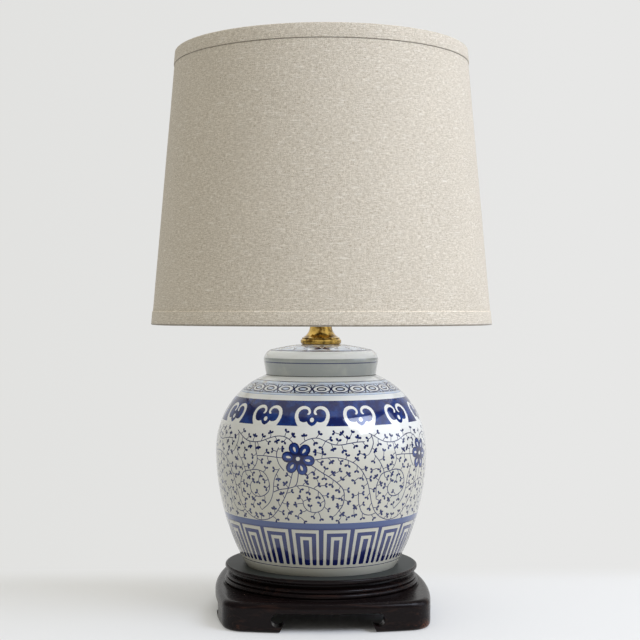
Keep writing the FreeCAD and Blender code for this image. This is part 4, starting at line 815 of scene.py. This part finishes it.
class LAMP_OT_painted_lid(bpy.types.Operator):
    """Turns the porcelain lid and paints its rings and the flowers on its dome"""
    bl_idname = "lamp.painted_lid"
    bl_label = "Painted Lid"

    def execute(self, context):
        settings = context.scene.lamp_jar
        lean = math.atan2(LID_WIDEST_RADIUS - LID_RIM_RADIUS, LID_SIDE)
        centre = (LID_WIDEST_RADIUS - LID_EDGE * math.cos(lean), LEDGE_Z + LID_SIDE + LID_EDGE * math.sin(lean))
        dome_z = centre[1] - rise(LID_DOME - LID_EDGE, centre[0])
        top_z = dome_z + rise(LID_DOME, LID_BOSS)
        turn = math.degrees(math.atan2(centre[1] - dome_z, centre[0]))
        boss_turn = math.degrees(math.acos(LID_BOSS / LID_DOME))
        side = Wall.line((LID_RIM_RADIUS, LEDGE_Z), (LID_WIDEST_RADIUS, LEDGE_Z + LID_SIDE))
        outside = side.joined(Wall.arc(centre, LID_EDGE, -math.degrees(lean), turn, 0.5)).joined(
            Wall.arc((0, dome_z), LID_DOME, turn, boss_turn, 1.5))
        painting = Painting(outside)
        self.decorate(painting, settings)
        inner_edge, inner_dome = LID_EDGE - LID_WALL, LID_DOME - LID_WALL
        rim_inner = max(LID_RIM_RADIUS - LID_WALL, JAR_COLLAR_RADIUS + 0.3)
        inner_boss = (LID_BOSS, dome_z + rise(inner_dome, LID_BOSS))
        inner_boss_turn = math.degrees(math.acos(LID_BOSS / inner_dome))
        side_top = (centre[0] + inner_edge * math.cos(lean), centre[1] - inner_edge * math.sin(lean))
        walls = [
            *Wall.corners((LID_BOSS, top_z), (JAR_HOLE_RADIUS, top_z), (JAR_HOLE_RADIUS, inner_boss[1]), inner_boss),
            Wall.arc((0, dome_z), inner_dome, inner_boss_turn, turn, 3).flipped(),
            Wall.arc(centre, inner_edge, turn, -math.degrees(lean), 1).flipped(),
            *Wall.corners(side_top, (rim_inner, LEDGE_Z), (LID_RIM_RADIUS, LEDGE_Z)),
        ]
        lid = turned_piece("painted_lid", painting, 22, walls)
        settle(lid, "painted_lid", "base", painted_finishes(settings), ["jar_lid"])
        return {"FINISHED"}

    def decorate(self, painting, settings):
        """Painted shade on the side as a greyer glaze, with a ring; painted light on the rim as a whiter one; a broad
        ring round the dome, and flowers joined by scrolls inside it.
        """
        wall = painting.wall
        ring = lambda radius: next(s for s, p in zip(wall.length, wall.points) if s > 20 and p[0] <= radius)
        # From the foot of the lid up: the bare rim with the painted shadow of the gap, then the painted shade of the
        # grey side.
        for low, high, paint in ((0, 0.7, SEAM_AND_SHADOW), (0.7, LID_SIDE - 0.7, PAINTED_SHADE_GREY), (LID_SIDE - 0.7, LID_SIDE + 0.3, LINE),
                                 # Painted light on the rim of the lid: a whiter glaze above the grey.
                                 (LID_SIDE + 0.3, LID_SIDE + 4.2, PAINTED_SHADE_GREY), (LID_SIDE + 4.2, ring(54.9), LIT_WHITE),
                                 (ring(54.9), ring(52.4), LINE),
                                 (ring(52.4), ring(28), TINTED), (ring(28), ring(26.4), LINE)):
            painting.band(low, high, paint)
        for i in range(4):
            middle = FRONT + 1.5 + 90 * i
            centre = (middle, ring(39.5))
            for k in range(5):
                painting.oval(centre, 72 * k + 90, (6.6, 4.8, 3.3), DARK, 14, 0.1, 2.6)
                painting.oval(centre, 72 * k + 90, (7.2, 2.2, 1.4), PETAL, 10, 0.1, 2.6)
            painting.disc(centre, 2.3, PORCELAIN, 12, 2.6)
            painting.disc(centre, 1.2, DARK, 8, 2.6)
            for side in (1, -1):
                turn = lambda x, radius: (middle + side * x, ring(radius))
                curl = (14, 36), (22, 45), (33, 47.5), (42, 43), (43, 35), (36, 31.5), (30, 34), (31, 38.5)
                curl = [turn(*place) for place in curl]
                line = smooth_line([(a * MM_PER_DEGREE, s) for a, s in curl], 1.5)
                painting.stroke([(a / MM_PER_DEGREE, s) for a, s in line], 1.6, LEAF)
                for k, (x, radius) in enumerate(((19, 48), (25, 41), (37, 49.5), (38, 39), (44.6, 31), (28, 30.5))):
                    for spread in (-40, 40):
                        painting.leaf(turn(x, radius), 90 * side + 60 * k + spread, 6.0, DARK)


# --- the stand

def lacquered_wood(settings):
    """Near black lacquer over open grain, worn to red-brown along edges and feet."""
    finish = Finish("lacquered_wood")
    x, y, z = finish.parts(finish.place())
    radius = (x ** 2 + y ** 2) ** 0.5
    grain = finish.noise(5.5, 5, 0.65, (0.07, 1, 1), distortion=0.4)
    blotch = finish.noise(26, 3, 0.6)
    fine = finish.noise(1.6, 4, 0.7, (0.15, 1, 1))
    corner = finish.ease(radius, 122, 138)
    foot = 1 - finish.ease(z, 2, 15)
    plate = finish.ease(z, 44.4, 49.2) * (1 - finish.ease(radius, 97.5, 98.6))
    lip = finish.ease(radius, 97.8, 100.3) * finish.ease(z, 44, 49)
    rub = finish.ease(blotch * 0.6 + fine * 0.55, 0.52, 0.76)
    worn = finish.ease((foot * corner + lip * 0.25 + foot * 0.25) * rub, 0.15, 0.8)
    base = finish.blend(finish.ease(grain, 0.50, 0.72), settings.wood, settings.grain)
    base = finish.blend(worn * 0.85, base, settings.wear)
    # Painted sheen: the top of the plate turned grey-green.
    base = finish.blend(plate * 0.85, base, settings.plate_sheen)
    relief = grain * 0.6 + fine * 0.4
    finish.surface(Base_Color=base, Roughness=0.2 + grain * 0.14 + plate * 0.16, IOR=1.45, Specular_IOR_Level=0.13,
                   Coat_Weight=0.04, Coat_Roughness=0.1, Normal=finish.bump(relief, 0.07))
    return finish


class LAMP_OT_stand(bpy.types.Operator):
    """Lacquers the plinth, the waist and the plate of the stand"""
    bl_idname = "lamp.stand"
    bl_label = "Stand"

    def execute(self, context):
        finish = lacquered_wood(context.scene.lamp_stand)
        finish.wear("stand_plinth", "stand_waist", "stand_plate")
        return {"FINISHED"}


# --- brass and other metal

class LAMP_OT_brass_neck(bpy.types.Operator):
    """Polishes the brass ring and neck, dark in patches"""
    bl_idname = "lamp.brass_neck"
    bl_label = "Brass Neck"

    def execute(self, context):
        settings = context.scene.lamp_brass
        metal("aged_brass", settings.bright, settings.aged, 7, 0.42, 0.66, 0.13, 0.09, (1, 1, 6), 0.010).wear(
            "neck_ring", "brass_neck")
        return {"FINISHED"}


class LAMP_OT_harp(bpy.types.Operator):
    """Finishes the harp, its saddle, sleeves and stud, and the finial"""
    bl_idname = "lamp.harp"
    bl_label = "Harp and Finial"

    def execute(self, context):
        settings = context.scene.lamp_brass
        metal("harp_brass", settings.bright, settings.aged, 18, 0.5, 0.8, 0.3, 0.15, (1, 1, 0.2)).wear(
            "harp_saddle", "harp", "harp_sleeve_left", "harp_sleeve_right", "harp_stud")
        metal("finial_brass", settings.bright, settings.aged, 5, 0.42, 0.7, 0.2, 0.18, (1, 1, 5)).wear(
            "finial_insert", "finial_knob")
        return {"FINISHED"}


class LAMP_OT_socket(bpy.types.Operator):
    """Finishes the socket, its switch and the bulb"""
    bl_idname = "lamp.socket"
    bl_label = "Socket and Bulb"

    def execute(self, context):
        settings = context.scene.lamp_brass
        metal("socket_brass", tint(214, 178, 96), settings.aged, 14, 0.55, 0.85, 0.22, 0.2, (1, 1, 4)).wear(
            "socket_cap", "socket_shell", "screw_shell", "centre_contact", "terminal_screws", "switch_key_shaft")
        speckled("fibre_card", tint(120, 100, 78), tint(158, 138, 112), 1.1, 5, 0.85, 0.0, 0.05, 0.7, (1, 1, 0.3)).wear(
            "cap_insulator", "socket_liner")
        speckled("black_plastic", tint(20, 20, 21), tint(31, 31, 32), 0.7, 2, 0.36, 0.14, 0.02).wear(
            "switch_body", "switch_knob")
        metal("bulb_cap_metal", tint(196, 194, 188), tint(150, 148, 140), 6, 0.45, 0.8, 0.28, 0.2, (1, 1, 4)).wear(
            "bulb_base", "bulb_tip", "cap_grub_screw")
        speckled("dark_glass_insulator", tint(18, 16, 22), tint(34, 28, 40), 1.2, 3, 0.12, 0.1).wear("bulb_insulator")
        glass = speckled("frosted_bulb_glass", tint(236, 234, 228), tint(246, 245, 241), 8, 2, 0.3, 0.1)
        glass.surface(Transmission_Weight=0.35, IOR=1.5).wear("bulb_glass")
        return {"FINISHED"}


class LAMP_OT_fasteners(bpy.types.Operator):
    """Finishes the rod, nut and washers, the cord bush and the rubber bushes"""
    bl_idname = "lamp.fasteners"
    bl_label = "Rod and Fasteners"

    def execute(self, context):
        metal("zinc_steel", tint(178, 178, 174), tint(132, 128, 116), 8, 0.45, 0.8, 0.34, 0.2).wear(
            "centre_rod", "flat_washer", "tooth_washer", "hex_nut")
        speckled("cord_bush_plastic", tint(28, 28, 28), tint(40, 40, 40), 0.6, 2, 0.45, 0.1).wear("cord_bush")
        speckled("grey_rubber", tint(44, 43, 42), tint(70, 68, 65), 3, 4, 0.7, 0.15, 0.03).wear(
            "jar_grommet", "lid_grommet")
        return {"FINISHED"}


# --- the shade

def on_cone(down, out):
    """Radius and z at a distance down the slant from the top edge, and out from the linen's face, in millimetres."""
    sin, cos = math.sin(SHADE_LEAN), math.cos(SHADE_LEAN)
    return (SHADE_TOP_RADIUS + down * sin + out * cos, SHADE_TOP_Z - down * cos + out * sin)


def woven(name, dark, base, light, thread, lines=()):
    """Plain weave of uneven threads with slubs; lines are (from, to, brightness) down the slant: painted shadows and
    highlights that darken or lighten the cloth there.
    """
    finish = Finish(name)
    pitch = thread / MM
    weft = finish.noise(pitch, 2, 0.65, (1, 0.22, 1), "UV")
    warp = finish.noise(pitch, 2, 0.65, (0.22, 1, 1), "UV")
    cell = finish.noise(pitch * 0.62, 1, 0.6, (1, 1, 1), "UV")
    slub = finish.noise(1.7, 2, 0.6, (0.12, 1, 1), "UV")
    slub_up = finish.noise(1.8, 2, 0.6, (1, 0.14, 1), "UV")
    cloud = finish.noise(48, 3, 0.5, (1, 1, 1), "UV")
    weave = weft * 0.22 + warp * 0.32 + cell * 0.46
    tone = finish.ease(weave, 0.36, 0.63)
    paint = finish.blend(tone, dark, base)
    streak = finish.ease(slub, 0.56, 0.74) * 0.34 + finish.ease(slub_up, 0.58, 0.76) * 0.2
    spark = finish.ease(cell, 0.60, 0.74) * 0.55
    paint = finish.blend(streak + spark, paint, light)
    tone_and_painted_light = 0.95 + cloud * 0.1
    _, down, _ = finish.parts(finish.place(source="UV"))
    # Painted shadows and highlights: bands down the slant made darker or lighter.
    for start, end, brightness in lines:
        inside = finish.ease(down, start - 0.2, start + 0.2) * (1 - finish.ease(down, end - 0.4, end + 0.4))
        tone_and_painted_light = tone_and_painted_light * (1 + inside * (brightness - 1))
    paint = finish.shade(tone_and_painted_light, paint)
    relief = weave + streak * 0.35
    finish.surface(Base_Color=paint, Roughness=0.9, Sheen_Weight=0.15, Sheen_Roughness=0.5, Specular_IOR_Level=0.2,
                   Normal=finish.bump(relief, 0.34, 0.9))
    return finish


def unroll(piece):
    """Gives a round piece a UV map in metres: round the shade, and down its slant from the top edge."""
    mesh = piece.data
    while mesh.uv_layers:
        mesh.uv_layers.remove(mesh.uv_layers[0])
    layer = mesh.uv_layers.new(name="cloth")
    middle = (SHADE_TOP_RADIUS + SHADE_BOTTOM_RADIUS) / 2 * MM
    for polygon in mesh.polygons:
        points = [mesh.vertices[mesh.loops[loop].vertex_index].co for loop in polygon.loop_indices]
        turns = [math.atan2(point.x, -point.y) for point in points]
        if max(turns) - min(turns) > math.pi:
            turns = [t + 2 * math.pi if t < 0 else t for t in turns]
        for loop, turn, point in zip(polygon.loop_indices, turns, points):
            layer.data[loop].uv = (turn * middle, (SHADE_TOP_Z * MM - point.z) / math.cos(SHADE_LEAN))


def spun(name, profile, steps=180):
    """A closed ring from an outline of (radius, z) points in millimetres, spun round the middle."""
    mesh = bpy.data.meshes.new(name)
    piece = linked(name, mesh)
    mesh.from_pydata([(0, r * MM, z * MM) for r, z in profile],
                     [(i, (i + 1) % len(profile)) for i in range(len(profile))], [])
    select_only(piece)
    bpy.ops.object.mode_set(mode="EDIT")
    bpy.ops.mesh.select_all(action="SELECT")
    bpy.ops.mesh.spin(steps=steps, angle=2 * math.pi, center=(0, 0, 0), axis=(0, 0, 1))
    bpy.ops.object.mode_set(mode="OBJECT")
    recalculate(piece)
    return piece


def rounded(points, radius, steps=3):
    """An outline with each corner rounded."""
    found = []
    count = len(points)
    for i, here in enumerate(points):
        before, after = points[i - 1], points[(i + 1) % count]
        cut_before = min(radius, math.dist(here, before) / 2.2)
        cut_after = min(radius, math.dist(here, after) / 2.2)
        start = tuple(h + (b - h) * cut_before / math.dist(here, before) for h, b in zip(here, before))
        end = tuple(h + (a - h) * cut_after / math.dist(here, after) for h, a in zip(here, after))
        for k in range(steps + 1):
            t = k / steps
            found.append(tuple((1 - t) ** 2 * s + 2 * t * (1 - t) * h + t * t * e for s, h, e in zip(start, here, end)))
    return found


class LAMP_OT_shade(bpy.types.Operator):
    """Makes the linen of the shade and the folded tapes of its edges"""
    bl_idname = "lamp.shade"
    bl_label = "Linen Shade"

    def execute(self, context):
        settings = context.scene.lamp_shade
        linen = self.linen()
        threads = settings.dark_thread, settings.linen, settings.light_thread, settings.thread
        # Painted shadow: the linen darker in a band just under the top tape.
        cloth = woven("natural_linen", *threads, [(TRIM_FACE - 1, TRIM_FACE + 0.8, 0.42)])
        # Painted highlight along the top edge of the bottom tape, and painted shade along its lower edge.
        tape = woven("linen_tape", settings.dark_thread, settings.tape, settings.light_thread, settings.thread,
                     [(SHADE_SLANT - TRIM_FACE - 0.5, SHADE_SLANT - TRIM_FACE + 0.6, 1.3),
                      (SHADE_SLANT - 0.6, SHADE_SLANT + 2, 0.5)])
        settle(linen, "linen_cloth", "shade", [cloth], ["shade_linen"])
        lap = self.lap()
        unroll(lap)
        settle(lap, "back_lap", "shade", [cloth])
        for name, edge, way in (("top_tape", 0.0, 1), ("bottom_tape", SHADE_SLANT, -1)):
            piece = self.tape(name, edge, way)
            if way > 0:
                self.snip(piece)
            unroll(piece)
            settle(piece, name, "shade", [tape], ["shade_top_trim" if way > 0 else "shade_bottom_trim"])
        return {"FINISHED"}

    def linen(self):
        """Cone of cloth, with the faint unevenness of stretched linen; the glued lap at the back is made apart."""
        steps = 192
        bpy.ops.object.select_all(action="DESELECT")
        high, low = on_cone(0, -LINEN / 2), on_cone(SHADE_SLANT, -LINEN / 2)
        bpy.ops.mesh.primitive_cone_add(vertices=steps, radius1=low[0] * MM, radius2=high[0] * MM,
                                        depth=(high[1] - low[1]) * MM, end_fill_type="NOTHING", calc_uvs=False,
                                        location=(0, 0, (high[1] + low[1]) / 2 * MM))
        cloth = bpy.context.object
        select_only(cloth)
        bpy.ops.object.transform_apply(location=True, rotation=True, scale=True)
        mesh = bmesh.new()
        mesh.from_mesh(cloth.data)
        upright = [e for e in mesh.edges if abs(e.verts[0].co.z - e.verts[1].co.z) > 0.1]
        bmesh.ops.subdivide_edges(mesh, edges=upright, cuts=31, use_grid_fill=True)
        mesh.to_mesh(cloth.data)
        mesh.free()
        chance = random.Random(3)
        waves = [(chance.randint(2, 9), chance.uniform(4, 22), chance.uniform(0, 6.28)) for _ in range(7)]
        top, bottom = SHADE_TOP_Z, SHADE_TOP_Z - SHADE_HEIGHT
        for vertex in cloth.data.vertices:
            turn = math.atan2(vertex.co.x, -vertex.co.y)
            height = (vertex.co.z / MM - bottom) / (top - bottom)
            sag = sum(math.sin(n * turn + k * height + p) for n, k, p in waves) / len(waves)
            inside = max(0.0, min(1.0, min(height, 1 - height) * 14))
            radius = math.hypot(vertex.co.x, vertex.co.y)
            vertex.co.x *= 1 + sag * 0.14 * MM * inside / radius
            vertex.co.y *= 1 + sag * 0.14 * MM * inside / radius
        unroll(cloth)
        thick = cloth.modifiers.new("thickness", "SOLIDIFY")
        thick.thickness, thick.offset, thick.use_even_offset = LINEN * MM, 0, True
        bpy.ops.object.modifier_apply(modifier=thick.name)
        bpy.ops.object.shade_smooth_by_angle(angle=math.radians(35))
        return cloth

    def tape(self, name, edge, way):
        """Tape folded over an edge of the shade and round its wire, with soft corners."""
        back = -LINEN - LINER
        pocket = back - RING_POCKET
        at = lambda down, out: on_cone(edge + way * down, out)
        outline = [at(TRIM_FACE, 0.02), at(TRIM_FACE, TRIM_CLOTH), at(0, TRIM_CLOTH), at(-TRIM_CLOTH, 0),
                   at(-TRIM_CLOTH, pocket), at(0, pocket - TRIM_CLOTH), at(RING_POCKET, pocket - TRIM_CLOTH),
                   at(TRIM_BACK, back - TRIM_CLOTH), at(TRIM_BACK, back - 0.02),
                   at(RING_POCKET + TRIM_CLOTH, back - 0.02), at(RING_POCKET, pocket), at(0, pocket), at(0, 0.02)]
        piece = spun(name, rounded(outline, 0.34, 2))
        select_only(piece)
        bpy.ops.object.shade_smooth_by_angle(angle=math.radians(50))
        return piece

    def lap(self):
        """Strip where one end of the cloth lies glued over the other, at the back of the shade."""
        mesh = bpy.data.meshes.new("lap")
        piece = linked("lap", mesh)
        across, rows, half = 4, 40, math.degrees(LAP_WIDTH / 2 / SHADE_BOTTOM_RADIUS)
        steps = [(LAP_THICKNESS, k) for k in range(across + 1)] + [(-0.2, k) for k in range(across, -1, -1)]
        points = []
        for row in range(rows + 1):
            for out, k in steps:
                radius, z = on_cone(TRIM_FACE - 0.6 + (SHADE_SLANT - 2 * TRIM_FACE + 1.2) * row / rows, out)
                points.append(around(radius, z, 180 - half + 2 * half * k / across))
        wide = len(steps)
        faces = [(a, a - k + (k + 1) % wide, a - k + (k + 1) % wide + wide, a + wide)
                 for a, k in ((row * wide + k, k) for row in range(rows) for k in range(wide))]
        for end in (0, rows * wide):
            faces += [(end + k, end + k + 1, end + wide - 2 - k, end + wide - 1 - k) for k in range(across)]
        mesh.from_pydata(points, [], faces)
        recalculate(piece)
        bpy.ops.object.shade_smooth_by_angle(angle=math.radians(35))
        return piece

    def snip(self, tape):
        """Cuts the tape away where the three arms of the spider leave the top wire."""
        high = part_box("spider_arms")[1]
        for turn in (0, 120, 240):
            bpy.ops.object.select_all(action="DESELECT")
            bpy.ops.mesh.primitive_cylinder_add(
                vertices=20, radius=SNIP * MM, depth=0.016, rotation=(math.pi / 2, 0, math.radians(turn)),
                location=around(high.y / MM - 8, high.z / MM - 1.6, 180 + turn))
            blade = bpy.context.object
            select_only(tape)
            cut = tape.modifiers.new("snip", "BOOLEAN")
            cut.operation, cut.object, cut.solver = "DIFFERENCE", blade, "EXACT"
            bpy.ops.object.modifier_apply(modifier=cut.name)
            bpy.data.objects.remove(blade)


class LAMP_OT_shade_frame(bpy.types.Operator):
    """Finishes the liner, the wire rings and the spider of the shade; the liner glows, as painted light for the light
    through the linen, brighter on the right
    """
    bl_idname = "lamp.shade_frame"
    bl_label = "Shade Frame"

    def execute(self, context):
        liner = speckled("white_liner_painted_glow", tint(228, 225, 216), tint(238, 236, 229), 12, 3, 0.42, 0.12)
        x, _, _ = liner.parts(liner.place())
        # Painted light: the liner glows, dimmer at the left and brighter at the right, for the light that comes through
        # the linen.
        daylight = liner.blend(liner.ease(x, -170, 170), tint(104, 104, 106), tint(166, 170, 182))
        liner.surface(Normal=liner.bump(liner.noise(2.2, 2), 0.02), Emission_Color=daylight, Emission_Strength=1.0)
        liner.wear("shade_liner")
        speckled("white_coated_wire", tint(222, 220, 212), tint(234, 232, 226), 4, 3, 0.35, 0.12, 0.02).wear(
            "shade_top_ring", "shade_bottom_ring")
        brass = context.scene.lamp_brass
        metal("spider_brass", brass.bright, brass.aged, 12, 0.5, 0.8, 0.3, 0.16).wear("spider_arms", "spider_washer")
        return {"FINISHED"}


# --- stage

# Where the camera and the lights stand, in metres. A pane: height over the window's middle, size and share of power.
CAMERA_TURN, CAMERA_DISTANCE, CAMERA_ASIDE, CAMERA_HEIGHT = math.radians(2), 1.3676, 0.042, 0.3114
WINDOW_PLACE, WINDOW_TARGET = Vector((1.734, -1.455, 2.21)), Vector((0, 0, 0.24))
PANES = {"upper_pane": (0.72, (0.85, 0.24), 0.10), "window_light": (0.0, (1.6, 0.92), 0.76),
         "lower_pane": (-0.78, (0.7, 0.42), 0.14)}
SIDE_PLACE, SIDE_TARGET, SIDE_SIZE = (2.81, -0.495, 1.17), (0, 0, 0.28), (2.0, 2.0)


class LAMP_OT_stage(bpy.types.Operator):
    """Sets up the camera, the floor, the background and the light"""
    bl_idname = "lamp.stage"
    bl_label = "Stage"

    def execute(self, context):
        settings = context.scene.lamp_stage
        self.camera(context)
        self.floor(settings)
        for name, (up, size, share) in PANES.items():
            place = WINDOW_PLACE + Vector((0, 0, up))
            self.light(name, place, WINDOW_TARGET, size, settings.key * share, settings.daylight)
        self.light("side_light", SIDE_PLACE, SIDE_TARGET, SIDE_SIZE, settings.side, settings.daylight)
        self.sky(context, settings)
        context.scene.view_settings.view_transform = "Standard"
        return {"FINISHED"}

    def camera(self, context):
        """Camera at the height of the shade's lower edge, a little left of the lamp."""
        cos, sin = math.cos(CAMERA_TURN), math.sin(CAMERA_TURN)
        view = bpy.data.cameras.new("camera")
        view.lens, view.sensor_width = 73.125, 36
        view.shift_x, view.shift_y = 0.061, -0.0125
        view.clip_start, view.clip_end = 0.05, 30
        camera = linked("camera", view)
        camera.location = (-CAMERA_DISTANCE * sin - CAMERA_ASIDE * cos, -CAMERA_DISTANCE * cos + CAMERA_ASIDE * sin,
                           CAMERA_HEIGHT)
        camera.rotation_euler = (math.pi / 2, 0, -CAMERA_TURN)
        context.scene.camera = camera

    def floor(self, settings):
        """Pale floor that fades into the background."""
        bpy.ops.object.select_all(action="DESELECT")
        bpy.ops.mesh.primitive_circle_add(vertices=96, radius=9, fill_type="NGON", location=(0, 0, 0))
        floor = bpy.context.object
        floor.name = floor.data.name = "floor"
        finish = Finish("pale_floor")
        x, y, _ = finish.parts(finish.place())
        radius = (x ** 2 + y ** 2) ** 0.5
        across, ahead = x + 89.7, y + 1365.3
        side = across / (across ** 2 + ahead ** 2) ** 0.5
        wall = finish.blend(side * 2 + 0.5, settings.wall_left, settings.wall_right)
        glow = finish.node("ShaderNodeEmission", {}, {"Color": wall, "Strength": 1.0})
        finish.surface(Base_Color=settings.floor, Roughness=0.7, Specular_IOR_Level=0.15)
        far = y.math("MAXIMUM", finish.ease(y, 110, 220), finish.ease(radius, 450, 1100))
        mixed = finish.node("ShaderNodeMixShader", {}, {0: finish.ease(radius, 92, 136) * 0.35 + far * 0.65, 2: glow})
        finish.tree.links.new(finish.shader.outputs[0], mixed.socket.node.inputs[1])
        finish.tree.links.new(mixed.socket, finish.tree.nodes["Material Output"].inputs["Surface"])
        floor.data.materials.append(finish.material)

    def light(self, name, place, target, size, power, hue):
        """A soft rectangular light that looks at a point."""
        lamp = bpy.data.lights.new(name, "AREA")
        lamp.shape, lamp.size, lamp.size_y, lamp.energy, lamp.color = "RECTANGLE", *size, power, hue
        light = linked(name, lamp)
        light.location = place
        light.rotation_euler = (Vector(target) - Vector(place)).to_track_quat("-Z", "Y").to_euler()

    def sky(self, context, settings):
        """Background that the camera and polished surfaces see, and a softer light for the rest."""
        world = bpy.data.worlds.new("studio")
        world.use_nodes = True
        context.scene.world = world
        nodes = Nodes(world.node_tree)
        nodes.tree.nodes.clear()
        x, y, z = nodes.parts(nodes.node("ShaderNodeTexCoord"))
        wall = nodes.blend(nodes.span(x, -0.25, 0.25), settings.wall_left, settings.wall_right)
        kinds = nodes.node("ShaderNodeLightPath").socket.node.outputs
        ray = lambda kind: Socket(nodes, kinds[f"Is {kind} Ray"])
        background = lambda hue, strength: nodes.node("ShaderNodeBackground", {}, {0: hue, 1: strength})
        mix = lambda factor, one, other: nodes.node("ShaderNodeMixShader", {}, {0: factor, 1: one, 2: other})
        above = background(settings.bounce, nodes.span(z, 0, 1, 0, settings.sky))
        room = background(wall, nodes.span(y, 0.35, 0.85, 0.2, 0.9))
        unseen = mix(x.math("MAXIMUM", ray("Glossy"), ray("Transmission")), above, room)
        seen = mix(ray("Camera"), unseen, background(wall, 1.0))
        nodes.tree.links.new(seen.socket, nodes.tree.nodes.new("ShaderNodeOutputWorld").inputs[0])


# --- the sidebar

OPERATORS = (LAMP_OT_stage, LAMP_OT_painted_jar, LAMP_OT_painted_lid, LAMP_OT_stand, LAMP_OT_brass_neck, LAMP_OT_shade,
             LAMP_OT_shade_frame, LAMP_OT_harp, LAMP_OT_socket, LAMP_OT_fasteners)
SETTINGS = {"lamp_jar": JarPainting, "lamp_stand": StandFinish, "lamp_brass": BrassFinish, "lamp_shade": ShadeCloth,
            "lamp_stage": StageLight}


class LAMP_PT_panel(bpy.types.Panel):
    """Lists the pieces of the lamp and their settings"""
    bl_idname = "LAMP_PT_panel"
    bl_label = "Ginger Jar Lamp"
    bl_space_type = "VIEW_3D"
    bl_region_type = "UI"
    bl_category = "Lamp"

    def draw(self, context):
        for operator in OPERATORS:
            self.layout.operator(operator.bl_idname)
        for name in SETTINGS:
            box = self.layout.box()
            group = getattr(context.scene, name)
            for key in group.bl_rna.properties.keys():
                if key not in ("rna_type", "name"):
                    box.prop(group, key)


def register():
    for group in SETTINGS.values():
        bpy.utils.register_class(group)
    for name, group in SETTINGS.items():
        setattr(bpy.types.Scene, name, PointerProperty(type=group))
    for kind in (*OPERATORS, LAMP_PT_panel):
        bpy.utils.register_class(kind)


def unregister():
    for kind in (LAMP_PT_panel, *reversed(OPERATORS)):
        bpy.utils.unregister_class(kind)
    for name, group in SETTINGS.items():
        delattr(bpy.types.Scene, name)
        bpy.utils.unregister_class(group)


def main():
    """Makes the whole scene."""
    register()
    for operator in OPERATORS:
        category, name = operator.bl_idname.split(".")
        getattr(getattr(bpy.ops, category), name)()


if __name__ == "__main__":
    main()
